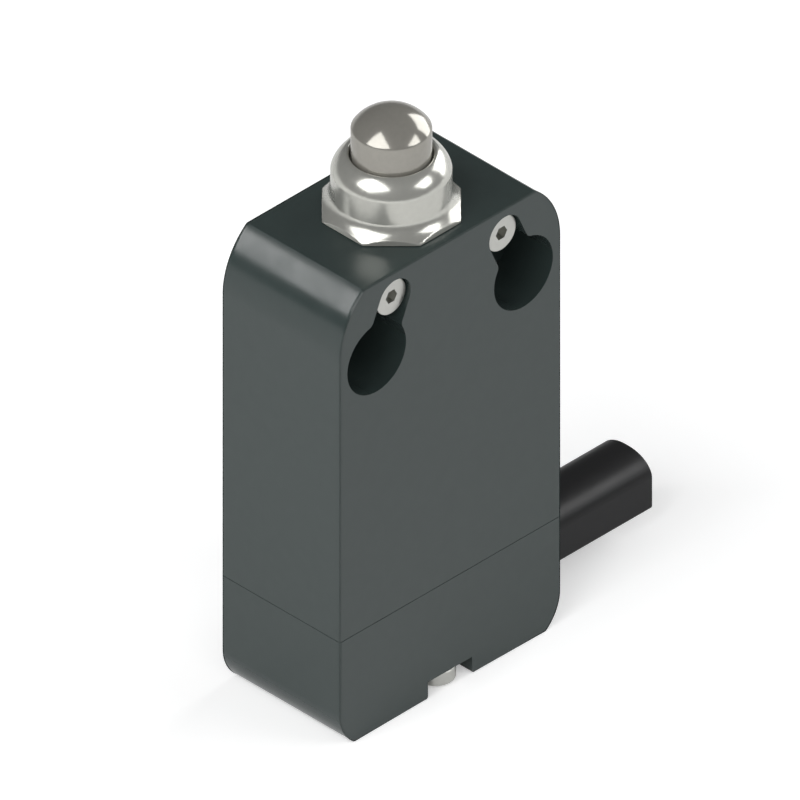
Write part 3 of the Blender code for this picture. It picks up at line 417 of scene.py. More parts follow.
@dataclass(frozen=True)
class TurnedMetal(Finish):
    """Metal from a lathe, with fine rings about its axis."""

    metallic: float = 1.0
    marks: Marks = Marks.TURNED
    pitch: float = 0.06 * MM
    depth: float = 0.0008 * MM


@dataclass(frozen=True)
class DrawnPlastic(Finish):
    """Plastic drawn through a die, with long lines along it."""

    marks: Marks = Marks.DRAWN
    pitch: float = 0.06 * MM
    depth: float = 0.001 * MM


MOULDED = Finish(Slot.MOULDED, (0.03, 0.042, 0.0402), 0.2, pitch=0.12 * MM, depth=0.0006 * MM)
COLLAR_STEEL = TurnedMetal(
    Slot.COLLAR, (0.565, 0.565, 0.52), 0.19, 0.68, pitch=0.05 * MM, depth=0.0003 * MM
)
PLUNGER_STEEL = TurnedMetal(
    Slot.PLUNGER, (0.335, 0.323, 0.29), 0.14, 0.5, pitch=0.04 * MM, depth=0.0002 * MM
)
SCREW_STEEL = TurnedMetal(Slot.SCREW, (0.56, 0.56, 0.53), 0.34)
BRASS = TurnedMetal(Slot.BRASS, (0.55, 0.38, 0.13), 0.32)
SILVER = TurnedMetal(
    Slot.SILVER, (0.72, 0.71, 0.68), 0.28, pitch=0.05 * MM, depth=0.0005 * MM
)
BRONZE = Finish(Slot.BRONZE, (0.5, 0.27, 0.12), 0.3, 1.0, Marks.DRAWN, 0.05 * MM, 0.0008 * MM)
SPRING_WIRE = Finish(
    Slot.WIRE, (0.42, 0.42, 0.42), 0.28, metallic=1.0, pitch=0.05 * MM, depth=0.0006 * MM
)
RUBBER = Finish(Slot.RUBBER, (0.014, 0.014, 0.014), 0.62, pitch=0.1 * MM, depth=0.003 * MM)
BLOCK = Finish(Slot.BLOCK, (0.03, 0.03, 0.035), 0.48, pitch=0.15 * MM, depth=0.003 * MM)
ACETAL = Finish(Slot.CARRIER, (0.6, 0.58, 0.5), 0.4, pitch=0.15 * MM, depth=0.002 * MM)
JACKET = DrawnPlastic(
    Slot.JACKET, (0.0155, 0.0155, 0.0161), 0.36, pitch=0.12 * MM, depth=0.0016 * MM, gloss=0.18
)
CORE_FINISHES = {
    "brown": DrawnPlastic(Slot.BROWN, (0.13, 0.045, 0.016), 0.35),
    "blue": DrawnPlastic(Slot.BLUE, (0.012, 0.06, 0.3), 0.35),
    "black": DrawnPlastic(Slot.BLACK, (0.012, 0.012, 0.012), 0.35),
    "grey": DrawnPlastic(Slot.GREY, (0.25, 0.25, 0.25), 0.35),
}


# --- mesh helpers --------------------------------------------------------------------------


CORNER_STEPS = 8


def arc(centre: Sequence[float], radius: Any, start: float, end: float, steps: int) -> Outline:
    """Points on an arc, both ends included.

    Args:
        centre: The arc's centre.
        radius: One radius, or a pair across and up for an ellipse.
        start: First angle in degrees.
        end: Last angle in degrees.
        steps: Number of chords.

    Returns:
        The points.
    """
    across, up = radius if isinstance(radius, tuple) else (radius, radius)
    points = []
    for step in range(steps + 1):
        angle = math.radians(start + (end - start) * step / steps)
        points.append((centre[0] + across * math.cos(angle), centre[1] + up * math.sin(angle)))
    return points


def circle(across: float, up: float, radius: float, sides: int = 64) -> Outline:
    """A closed round outline."""
    return arc((across, up), radius, 180.0 / sides, 360.0 - 180.0 / sides, sides - 1)


def rectangle(low: Sequence[float], high: Sequence[float]) -> Outline:
    """A closed rectangle between two corners."""
    return [(low[0], low[1]), (high[0], low[1]), (high[0], high[1]), (low[0], high[1])]


def rounded_rectangle(half_width: float, front: float, back: float, corner: float) -> Outline:
    """A closed rectangle, centred across, with round corners.

    Args:
        half_width: Half its width.
        front: Its lower edge.
        back: Its upper edge.
        corner: The corners' radius.

    Returns:
        The points.
    """
    across = half_width - corner
    centres = rectangle((across, back - corner), (-across, front + corner))
    points = []
    for turn, centre in enumerate(centres):
        points += arc(centre, corner, 90 * turn, 90 * turn + 90, CORNER_STEPS)
    return points


def mirrored(points: Outline) -> Outline:
    """The points of a right half, then their mirror images back to the start."""
    return points + [(-across, up) for across, up in reversed(points)]


def new_object(name: str, mesh: bpy.types.ID) -> bpy.types.Object:
    """Puts data into the scene.

    Args:
        name: The object's name.
        mesh: Its data.

    Returns:
        The object.
    """
    made = bpy.data.objects.new(name, mesh)
    bpy.context.scene.collection.objects.link(made)
    return made


def prism(outline: Outline, axis: Axis, low: float, high: float) -> bpy.types.Mesh:
    """A closed outline given thickness along an axis.

    Args:
        outline: The outline's points.
        axis: The axis across it.
        low: Where the solid starts along the axis.
        high: Where it ends.

    Returns:
        A closed mesh with its faces pointing out.
    """
    bm = bmesh.new()
    loops = [
        [bm.verts.new(axis.place(across, up, along)) for across, up in outline]
        for along in (low, high)
    ]
    for loop in loops:
        bm.faces.new(loop)
    count = len(outline)
    for i in range(count):
        j = (i + 1) % count
        bm.faces.new((loops[0][i], loops[0][j], loops[1][j], loops[1][i]))
    bmesh.ops.recalc_face_normals(bm, faces=bm.faces)
    mesh = bpy.data.meshes.new("prism")
    bm.to_mesh(mesh)
    bm.free()
    return mesh


def settle(piece: bpy.types.Object) -> None:
    """Applies every modifier to the piece's mesh.

    Args:
        piece: The object, which ends without modifiers.
    """
    bpy.context.view_layer.update()
    graph = bpy.context.evaluated_depsgraph_get()
    mesh = bpy.data.meshes.new_from_object(piece.evaluated_get(graph), depsgraph=graph)
    piece.modifiers.clear()
    piece.data = mesh


def carve(name: str, blank: bpy.types.Mesh, cutters: Iterable[bpy.types.Mesh]) -> bpy.types.Object:
    """Cuts shapes out of a blank, one after another.

    Args:
        name: The piece's name.
        blank: The closed mesh that is cut.
        cutters: Closed meshes, which are used up.

    Returns:
        The object, with the cuts applied.
    """
    piece = new_object(name, blank)
    tools = [new_object(f"{name}_cutter", mesh) for mesh in cutters]
    for tool in tools:
        step = piece.modifiers.new("cut", "BOOLEAN")
        step.operation = "DIFFERENCE"
        step.object = tool
    settle(piece)
    for tool in tools:
        bpy.data.objects.remove(tool)
    return piece


SHARP_EDGE = math.radians(55.0)


def round_edges(
    piece: bpy.types.Object, planes: Sequence[tuple[Axis, float, float]], segments: int = 3
) -> bpy.types.Object:
    """Rounds the sharp edges that lie in given planes.

    Args:
        piece: The object to round.
        planes: For each plane its axis, its place along it, and the width of the rounding.
        segments: Faces across each rounding.

    Returns:
        The same object, with the rounding applied.
    """
    widest = max(width for _, _, width in planes)
    bm = bmesh.new()
    bm.from_mesh(piece.data)
    bmesh.ops.remove_doubles(bm, verts=bm.verts, dist=FINE_WELD)
    layer = bm.edges.layers.float.new("bevel_weight_edge")
    for edge in bm.edges:
        if len(edge.link_faces) != 2 or edge.calc_face_angle(0.0) < SHARP_EDGE:
            continue
        for axis, place, width in planes:
            if all(abs(vertex.co[axis.value] - place) < WELD for vertex in edge.verts):
                edge[layer] = width / widest
    bm.to_mesh(piece.data)
    bm.free()
    bevel = piece.modifiers.new("round", "BEVEL")
    bevel.limit_method = "WEIGHT"
    bevel.width = widest
    bevel.segments = segments
    bevel.use_clamp_overlap = False
    settle(piece)
    return piece


def smooth(piece: bpy.types.Object, angle: float = 38.0) -> bpy.types.Object:
    """Shades a piece smooth, with flats that stay flat.

    Args:
        piece: The object.
        angle: Degrees from which an edge stays sharp.

    Returns:
        The same object.
    """
    piece.data.shade_smooth()
    piece.data.set_sharp_from_angle(angle=math.radians(angle))
    weighted = piece.modifiers.new("flats", "WEIGHTED_NORMAL")
    weighted.keep_sharp = True
    settle(piece)
    return piece


def hand_over(
    piece: bpy.types.Object,
    finish: Finish,
    body: str,
    *nodes: str,
    centre: Sequence[float] = (0.0, 0.0, 0.0),
    axis: Axis = Axis.Z,
) -> bpy.types.Object:
    """Dresses a finished piece, hangs it on its body's empty and hides the nodes that it stands
    for.

    Args:
        piece: The piece, in place at rest.
        finish: Its finish.
        body: The frame's body that it moves with.
        nodes: The frame's nodes that it replaces.
        centre: A point on the axis of its turned or drawn marks.
        axis: That axis.

    Returns:
        The piece.
    """
    piece.data.materials.clear()
    piece.data.materials.append(finish.material(centre, axis))
    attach(piece, body)
    if nodes:
        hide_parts(*nodes)
    LOG.info("piece %s on %s, %d faces", piece.name, body, len(piece.data.polygons))
    return piece


# --- geometry node trees -------------------------------------------------------------------


class GeometryKit(NodeKit):
    """A geometry node tree with its usual ends."""

    def __init__(self, name: str, inputs: Sequence[tuple[str, str, Any]]) -> None:
        """Makes the tree and its interface.

        Args:
            name: The tree's name.
            inputs: Name, kind and default of each input after the geometry.
        """
        super().__init__(bpy.data.node_groups.new(name, "GeometryNodeTree"))
        self.socket("Geometry", "Geometry")
        for row in inputs:
            self.socket(*row)
        self.socket("Geometry", "Geometry", output=True)
        self.given = self.add("NodeGroupInput").outputs

    def close(self, geometry: bpy.types.NodeSocket) -> bpy.types.NodeTree:
        """Ends the tree with real geometry that wears the given material.

        Args:
            geometry: The finished geometry.

        Returns:
            The tree.
        """
        real = self.add("GeometryNodeRealizeInstances", {"Geometry": geometry}).outputs[0]
        dressing = {"Geometry": real, "Material": self.given["Material"]}
        worn = self.add("GeometryNodeSetMaterial", dressing).outputs[0]
        self.add("NodeGroupOutput", {"Geometry": worn})
        return self.tree


def turned_tree() -> bpy.types.NodeTree:
    """A turned piece. Profile points (radius, 0, height) run down the outer side.

    The points outside a regular polygon about the axis are drawn in to it, which mills flats on
    a flare.

    Returns:
        The tree, with inputs Steps, Flats, Apothem and Material.
    """
    inputs = [
        ("Steps", "Int", 96),
        ("Flats", "Int", 8),
        ("Apothem", "Float", 1.0),
        ("Material", "Material", None),
    ]
    kit = GeometryKit("turned_piece", inputs)
    given = kit.given
    profile = given["Geometry"]
    size = kit.add("GeometryNodeAttributeDomainSize", {"Geometry": profile}).outputs["Point Count"]
    count = {"Vertices X": kit.math("ADD", given["Steps"], 1.0), "Vertices Y": size}
    grid = kit.add("GeometryNodeMeshGrid", count).outputs["Mesh"]
    index = kit.add("GeometryNodeInputIndex").outputs[0]
    column = kit.math("FLOOR", kit.math("DIVIDE", kit.math("ADD", index, 0.5), size))
    row = kit.math("SUBTRACT", index, kit.math("MULTIPLY", column, size))
    position = kit.add("GeometryNodeInputPosition").outputs[0]
    sample = kit.add("GeometryNodeSampleIndex", data_type="FLOAT_VECTOR")
    for key, value in {"Geometry": profile, "Value": position, "Index": row}.items():
        kit.feed(sample.inputs[key], value)
    parts = kit.add("ShaderNodeSeparateXYZ", {0: sample.outputs[0]}).outputs
    angle = kit.math("MULTIPLY", column, kit.math("DIVIDE", math.tau, given["Steps"]))
    sector = kit.math("DIVIDE", math.tau, given["Flats"])
    half = kit.math("MULTIPLY", sector, 0.5)
    local = kit.math("SUBTRACT", kit.math("MODULO", kit.math("ADD", angle, half), sector), half)
    reach = kit.math("DIVIDE", given["Apothem"], kit.math("COSINE", local))
    radius = kit.math("MINIMUM", parts[0], reach)
    across = kit.math("MULTIPLY", radius, kit.math("COSINE", angle))
    up = kit.math("MULTIPLY", radius, kit.math("SINE", angle))
    place = kit.add("ShaderNodeCombineXYZ", {0: across, 1: up, 2: parts[2]}).outputs[0]
    moved = kit.add("GeometryNodeSetPosition", {"Geometry": grid, "Position": place}).outputs[0]
    seam = {"Geometry": moved, "Distance": WELD}
    merged = kit.add("GeometryNodeMergeByDistance", seam).outputs[0]
    return kit.close(kit.add("GeometryNodeFlipFaces", {"Mesh": merged}).outputs[0])


def socket_tree(turned: bpy.types.NodeTree) -> bpy.types.NodeTree:
    """A turned screw with a hexagon socket sunk in its top.

    Args:
        turned: The tree that turns the profile.

    Returns:
        The tree, with inputs Socket Radius, Socket Depth, Head Top and Material.
    """
    inputs = [
        ("Socket Radius", "Float", 0.75 * MM),
        ("Socket Depth", "Float", 1.1 * MM),
        ("Head Top", "Float", 2.0 * MM),
        ("Material", "Material", None),
    ]
    kit = GeometryKit("socket_screw", inputs)
    given = kit.given
    screw = kit.add("GeometryNodeGroup", node_tree=turned)
    kit.feed(screw.inputs["Geometry"], given["Geometry"])
    kit.feed(screw.inputs["Material"], given["Material"])
    depth = kit.math("MULTIPLY", given["Socket Depth"], 2.0)
    key = {"Vertices": 6, "Radius": given["Socket Radius"], "Depth": depth}
    hexagon = kit.add("GeometryNodeMeshCylinder", key).outputs["Mesh"]
    lift = kit.add("ShaderNodeCombineXYZ", {2: given["Head Top"]}).outputs[0]
    raised = kit.add("GeometryNodeTransform", {"Geometry": hexagon, "Translation": lift}).outputs[0]
    solids = {"Mesh 1": screw.outputs[0], "Mesh 2": raised}
    cut = kit.add("GeometryNodeMeshBoolean", solids, operation="DIFFERENCE")
    return kit.close(cut.outputs[0])


TURN_STEPS = 32
WIRE_SIDES = 12
CLOSED_TURNS = 2.0


def spring_tree() -> bpy.types.NodeTree:
    """A compression spring with closed ends, standing on Z 0.

    One turn at each end rises by the wire's thickness, and the free turns between share the rest.

    Returns:
        The tree, with inputs Radius, Wire Radius, Height, Turns and Material.
    """
    inputs = [
        ("Radius", "Float", 3.0 * MM),
        ("Wire Radius", "Float", 0.25 * MM),
        ("Height", "Float", 7.0 * MM),
        ("Turns", "Float", 6.0),
        ("Material", "Material", None),
    ]
    kit = GeometryKit("compression_spring", inputs)
    given = kit.given
    spiral_inputs = {
        "Resolution": TURN_STEPS,
        "Rotations": given["Turns"],
        "Start Radius": given["Radius"],
        "End Radius": given["Radius"],
        "Height": 0.0,
    }
    spiral = kit.add("GeometryNodeCurveSpiral", spiral_inputs).outputs[0]
    along = kit.add("GeometryNodeSplineParameter").outputs["Factor"]
    turn = kit.math("MULTIPLY", along, given["Turns"])
    wire = kit.math("MULTIPLY", given["Wire Radius"], 2.0)
    free_turns = kit.math("SUBTRACT", given["Turns"], CLOSED_TURNS)
    rise = kit.math("SUBTRACT", given["Height"], kit.math("MULTIPLY", wire, CLOSED_TURNS + 1.0))
    first = kit.math("MINIMUM", turn, 1.0)
    share = kit.math("DIVIDE", kit.math("SUBTRACT", turn, 1.0), free_turns)
    middle = kit.math("MINIMUM", kit.math("MAXIMUM", share, 0.0), 1.0)
    last = kit.math("MAXIMUM", kit.math("SUBTRACT", turn, kit.math("ADD", free_turns, 1.0)), 0.0)
    ends = kit.math("MULTIPLY", kit.math("ADD", first, last), wire)
    height = kit.math("ADD", ends, kit.math("MULTIPLY", middle, rise))
    lift = kit.math("ADD", height, given["Wire Radius"])
    offset = kit.add("ShaderNodeCombineXYZ", {2: lift}).outputs[0]
    helix = kit.add("GeometryNodeSetPosition", {"Geometry": spiral, "Offset": offset}).outputs[0]
    ring = {"Resolution": WIRE_SIDES, "Radius": given["Wire Radius"]}
    section = kit.add("GeometryNodeCurvePrimitiveCircle", ring).outputs[0]
    tube = {"Curve": helix, "Profile Curve": section, "Fill Caps": True}
    return kit.close(kit.add("GeometryNodeCurveToMesh", tube).outputs[0])


GOLDEN_ANGLE = math.pi * (3.0 - math.sqrt(5.0))
STRAND_SPACING = 1.12
STRAND_SIDES = 10
STRAND_WAIST = 0.9
STRAND_LENGTHS = (0.94, 1.0)


def strand_tree() -> bpy.types.NodeTree:
    """The cut strands of a conductor, packed round the Z axis from its centre out.

    Returns:
        The tree, with inputs Count, Strand Radius, Length, Seed and Material.
    """
    inputs = [
        ("Count", "Int", 19),
        ("Strand Radius", "Float", 0.07 * MM),
        ("Length", "Float", 1.0 * MM),
        ("Seed", "Int", 3),
        ("Material", "Material", None),
    ]
    kit = GeometryKit("conductor_strands", inputs)
    given = kit.given
    points = kit.add("GeometryNodePoints", {"Count": given["Count"]}).outputs[0]
    index = kit.add("GeometryNodeInputIndex").outputs[0]
    golden = kit.math("MULTIPLY", index, GOLDEN_ANGLE)
    spacing = kit.math("MULTIPLY", given["Strand Radius"], STRAND_SPACING)
    ring = kit.math("MULTIPLY", kit.math("SQRT", index), spacing)
    across = kit.math("MULTIPLY", ring, kit.math("COSINE", golden))
    up = kit.math("MULTIPLY", ring, kit.math("SINE", golden))
    place = kit.add("ShaderNodeCombineXYZ", {0: across, 1: up}).outputs[0]
    laid = kit.add("GeometryNodeSetPosition", {"Geometry": points, "Position": place}).outputs[0]
    size = {
        "Vertices": STRAND_SIDES,
        "Radius": given["Strand Radius"],
        "Depth": given["Length"],
    }
    strand = kit.add("GeometryNodeMeshCylinder", size).outputs["Mesh"]
    spread = {2: STRAND_LENGTHS[0], 3: STRAND_LENGTHS[1], "Seed": given["Seed"]}
    uneven = kit.add("FunctionNodeRandomValue", spread, data_type="FLOAT").outputs[1]
    waist = {0: STRAND_WAIST, 1: STRAND_WAIST, 2: uneven}
    scale = kit.add("ShaderNodeCombineXYZ", waist).outputs[0]
    copies = {"Points": laid, "Instance": strand, "Scale": scale}
    return kit.close(kit.add("GeometryNodeInstanceOnPoints", copies).outputs[0])


TURNED_EDGE = math.radians(32.0)


def grow(
    name: str,
    tree: bpy.types.NodeTree,
    values: dict[str, Any],
    place: Matrix,
    profile: Outline | None = None,
) -> bpy.types.Object:
    """Runs a geometry node tree and keeps its result as a plain mesh.

    Args:
        name: The piece's name.
        tree: The tree.
        values: The tree's inputs by name.
        place: Where the finished mesh goes.
        profile: Points (radius, height) that a turned piece starts from.

    Returns:
        The object, at the origin with its place in its mesh.
    """
    mesh = bpy.data.meshes.new(name)
    mesh.from_pydata([(radius, 0.0, height) for radius, height in profile or []], [], [])
    piece = new_object(name, mesh)
    modifier = piece.modifiers.new(tree.name, "NODES")
    modifier.node_group = tree
    for item in tree.interface.items_tree:
        if item.in_out == "INPUT" and item.name in values:
            modifier[item.identifier] = values[item.name]
    settle(piece)
    piece.data.transform(place)
    piece.data.shade_smooth()
    piece.data.set_sharp_from_angle(angle=TURNED_EDGE)
    return piece


TURNED = turned_tree()
SCREWED = socket_tree(TURNED)
SPRUNG = spring_tree()
STRANDED = strand_tree()


# --- casing --------------------------------------------------------------------------------


@dataclass
class Keyhole:
    """A recess in the front face: a counterbore with a neck up to the head screw's pocket."""

    spacing: float = 20.0 * MM
    bore_radius: float = 4.0 * MM
    bore_depth: float = 6.0 * MM
    hole_radius: float = 2.2 * MM
    neck_depth: float = 2.7 * MM
    pocket_radius: float = 2.15 * MM
    screw_x: float = 7.5 * MM
    screw_z: float = 5.7 * MM
    fillet: float = 0.9 * MM
    step: float = 0.02 * MM
    overlap: float = 0.3 * MM

    def outline(self, side: int) -> Outline:
        """The recess's outline in X and Z, with fillets where the neck meets the bore.

        Args:
            side: -1 for the left recess, 1 for the right one.

        Returns:
            The points.
        """
        bore = Vector((self.spacing / 2.0, 0.0))
        pocket = Vector((self.screw_x, self.screw_z))
        up = (pocket - bore).normalized()
        right = Vector((up.y, -up.x))
        reach = self.bore_radius + self.fillet
        offset = self.pocket_radius + self.fillet
        rise = math.sqrt(reach**2 - offset**2)
        lean = math.degrees(math.atan2(offset, rise))
        tilt = math.degrees(math.atan2(up.y, up.x))
        points = arc(pocket, self.pocket_radius, tilt - 90.0, tilt + 90.0, 24)
        left_fillet = bore + up * rise - right * offset
        points += arc(left_fillet, self.fillet, tilt - 90.0, tilt - 180.0 + lean, 8)[1:]
        points += arc(bore, self.bore_radius, tilt + lean, tilt + 360.0 - lean, 56)[1:]
        right_fillet = bore + up * rise + right * offset
        points += arc(right_fillet, self.fillet, tilt + 180.0 - lean, tilt + 90.0, 8)[1:]
        return [(side * across, height) for across, height in points]

    def cutters(self, side: int) -> list[bpy.types.Mesh]:
        """The solids that cut the recess and its fixing hole.

        Args:
            side: -1 for the left recess, 1 for the right one.

        Returns:
            Neck, counterbore and hole.
        """
        x = side * self.spacing / 2.0
        neck_floor = FRONT + self.neck_depth
        neck = prism(self.outline(side), Axis.Y, FRONT - MM, neck_floor)
        round_bore = circle(x, 0.0, self.bore_radius - self.step)
        bore = prism(round_bore, Axis.Y, neck_floor - self.overlap, FRONT + self.bore_depth)
        hole = prism(circle(x, 0.0, self.hole_radius, sides=48), Axis.Y, FRONT + MM, BACK + MM)
        return [neck, bore, hole]


@dataclass(frozen=True)
class Bore:
    """A round hole down from the housing's top."""

    radius: float
    bottom: float
    sides: int


@dataclass
class Casing:
    """The moulded housing and the foot below the seam."""

    edge_round: float = 0.16 * MM
    rim_round: float = 0.2 * MM
    seam_round: float = 0.022 * MM
    top_radius: float = 8.65 * MM
    top_drop: float = 6.8 * MM
    foot_radius: float = 5.0 * MM
    foot_rise: float = 4.0 * MM
    cavity_half: float = 13.3 * MM
    cavity_wall: float = 1.6 * MM
    cavity_top: float = -5.6 * MM
    cavity_corner: float = 1.5 * MM
    collar_bores: tuple[Bore, ...] = (
        Bore(2.4 * MM, -7.0 * MM, 40),
        Bore(4.55 * MM, -3.8 * MM, 56),
        Bore(6.6 * MM, 2.5 * MM, 72),
    )
    shank_radius: float = 1.4 * MM
    head_insert_radius: float = 2.0 * MM
    head_insert_depth: float = 3.45 * MM
    foot_insert_radius: float = 1.75 * MM
    foot_insert_depth: float = 3.3 * MM
    boss_radius: float = 2.6 * MM
    boss_top: float = -27.2 * MM
    screw_inset: float = 2.0 * MM
    foot_wall: float = 1.8 * MM
    foot_floor: float = 2.4 * MM
    foot_hole_radius: float = 1.15 * MM
    gasket_depth: float = 0.75 * MM
    gasket_inset: float = 0.9 * MM
    gasket_corner: float = 1.8 * MM
    outlet_margin: float = 1.05 * MM
    outlet_depth: float = 3.0 * MM
    notch_half: float = 3.0 * MM
    notch_height: float = 2.0 * MM
    notch_depth: float = 4.4 * MM
    notch_wall: float = 1.2 * MM
    notch_lip: float = 0.4 * MM

    def screw_y(self, side: int) -> float:
        """Y of a foot screw: side -1 is at the front, 1 at the back."""
        return AXIS_Y + side * ((BACK - FRONT) / 2.0 - self.screw_inset)

    def housing_outline(self) -> Outline:
        """The housing's front outline, from the seam up.

        Returns:
            The points.
        """
        sweep = math.degrees(math.asin(self.top_drop / self.top_radius))
        centre = (SIDE - self.top_radius, TOP - self.top_drop)
        return mirrored([(SIDE, HOUSING_SEAM), *arc(centre, self.top_radius, 0.0, sweep, 36)])

    def foot_outline(self) -> Outline:
        """The foot's front outline, up to the seam.

        Returns:
            The points.
        """
        sweep = math.degrees(math.asin(self.foot_rise / self.foot_radius))
        centre = (SIDE - self.foot_radius, FLOOR + self.foot_rise)
        return mirrored([*arc(centre, self.foot_radius, -sweep, 0.0, 24), (SIDE, FOOT_SEAM)])

    def blank(self, name: str, outline: Outline, seam: float) -> bpy.types.Mesh:
        """Makes a moulding's blank, with its front, back and seam edges rounded.

        Args:
            name: A name for the work piece.
            outline: The moulding's front outline.
            seam: Height of its seam face.

        Returns:
            The closed mesh.
        """
        planes = [
            (Axis.Y, FRONT, self.edge_round),
            (Axis.Y, BACK, self.edge_round),
            (Axis.Z, seam, self.seam_round),
        ]
        rounded = round_edges(new_object(name, prism(outline, Axis.Y, FRONT, BACK)), planes, 4)
        mesh = rounded.data
        bpy.data.objects.remove(rounded)
        return mesh

    def hollow(self, block: bpy.types.Mesh, kept: Iterable[bpy.types.Mesh]) -> bpy.types.Mesh:
        """Makes the solid that hollows a moulding.

        Args:
            block: The whole hollow.
            kept: Solids of the moulding that stand in it, which are used up.

        Returns:
            The hollow without them.
        """
        carved = carve("hollow", block, kept)
        mesh = carved.data
        bpy.data.objects.remove(carved)
        return mesh

    def housing_cutters(self) -> list[bpy.types.Mesh]:
        """The solids that hollow the housing and cut its holes.

        Returns:
            The meshes, in the order of the cuts.
        """
        low = HOUSING_LOW.z
        wall = self.cavity_wall
        section = rounded_rectangle(
            self.cavity_half, FRONT + wall, BACK - wall, self.cavity_corner
        )
        bosses = []
        for side in (-1, 1):
            boss = circle(0.0, self.screw_y(side), self.boss_radius, sides=40)
            bosses.append(prism(boss, Axis.Z, low - 2 * MM, self.boss_top))
        cutters = [self.hollow(prism(section, Axis.Z, low - MM, self.cavity_top), bosses)]
        keyhole = Keyhole()
        for side in (-1, 1):
            cutters += keyhole.cutters(side)
            x, z = side * keyhole.screw_x, keyhole.screw_z
            y = self.screw_y(side)
            shank = circle(x, z, self.shank_radius, sides=32)
            head_insert = circle(x, z, self.head_insert_radius, sides=40)
            foot_insert = circle(0.0, y, self.foot_insert_radius, sides=40)
            cutters += [
                prism(shank, Axis.Y, FRONT + MM, BACK - MM),
                prism(head_insert, Axis.Y, BACK - self.head_insert_depth, BACK + MM),
                prism(foot_insert, Axis.Z, low - MM, low + self.foot_insert_depth),
            ]
        for bore in self.collar_bores:
            section = circle(0.0, AXIS_Y, bore.radius, bore.sides)
            cutters.append(prism(section, Axis.Z, bore.bottom, TOP + MM))
        return cutters

    def foot_cutters(self) -> list[bpy.types.Mesh]:
        """The solids that hollow the foot and cut its notches, holes and cable outlet.

        Returns:
            The meshes, in the order of the cuts.
        """
        top = FOOT_HIGH.z
        floor = FLOOR + self.foot_floor
        shelf = top - self.gasket_depth
        wall = self.foot_wall
        kept = []
        cutters = []
        for side, face in ((-1, FRONT), (1, BACK)):
            y = self.screw_y(side)
            inner = face - side * (self.notch_depth + self.notch_wall)
            half = self.notch_half + self.notch_wall
            roof = FLOOR + self.notch_height + self.notch_wall
            low, high = sorted((inner, face))
            boss = circle(0.0, y, self.boss_radius, sides=40)
            kept.append(prism(boss, Axis.Z, floor - MM, shelf))
            kept.append(prism(rectangle((-half, low), (half, high)), Axis.Z, floor - MM, roof))
            low, high = sorted((face - side * self.notch_depth, face + side * MM))
            hole = circle(0.0, y, self.foot_hole_radius, sides=32)
            cutters.append(prism(self.notch_outline(), Axis.Y, low, high))
            cutters.append(prism(hole, Axis.Z, FLOOR + MM, top + MM))
        section = rounded_rectangle(
            SIDE - wall, FRONT + wall, BACK - wall, self.cavity_corner
        )
        inset = self.gasket_inset
        seat = rounded_rectangle(
            SIDE - inset, FRONT + inset, BACK - inset, self.gasket_corner
        )
        outlet = CableTail().outline(self.outlet_margin)
        return cutters + [
            self.hollow(prism(section, Axis.Z, floor, top + MM), kept),
            prism(seat, Axis.Z, shelf, top + MM),
            prism(outlet, Axis.X, SIDE - self.outlet_depth, SIDE + MM),
        ]

    def notch_outline(self) -> Outline:
        """The notch in the foot's lower edge, with rounded lips.

        Returns:
            The points.
        """
        lip = self.notch_lip
        half = self.notch_half
        right = [(half + lip, FLOOR - MM)]
        right += arc((half + lip, FLOOR + lip), lip, 270.0, 180.0, 8)
        right.append((half, FLOOR + self.notch_height))
        return mirrored(right)

    def build(self) -> list[bpy.types.Object]:
        """Makes the two mouldings and dresses them.

        Returns:
            The housing and the foot.
        """
        rims = [(Axis.Y, FRONT, self.rim_round), (Axis.Y, BACK, self.rim_round)]
        blank = self.blank("housing_blank", self.housing_outline(), HOUSING_SEAM)
        housing = round_edges(carve("housing_moulding", blank, self.housing_cutters()), rims)
        hand_over(smooth(housing), MOULDED, "body", "housing")
        blank = self.blank("foot_blank", self.foot_outline(), FOOT_SEAM)
        outlet = [*rims, (Axis.X, SIDE, self.rim_round)]
        foot = round_edges(carve("foot_moulding", blank, self.foot_cutters()), outlet)
        hand_over(smooth(foot), MOULDED, "body", "bottom_cover")
        return [housing, foot]


# --- guide head ----------------------------------------------------------------------------


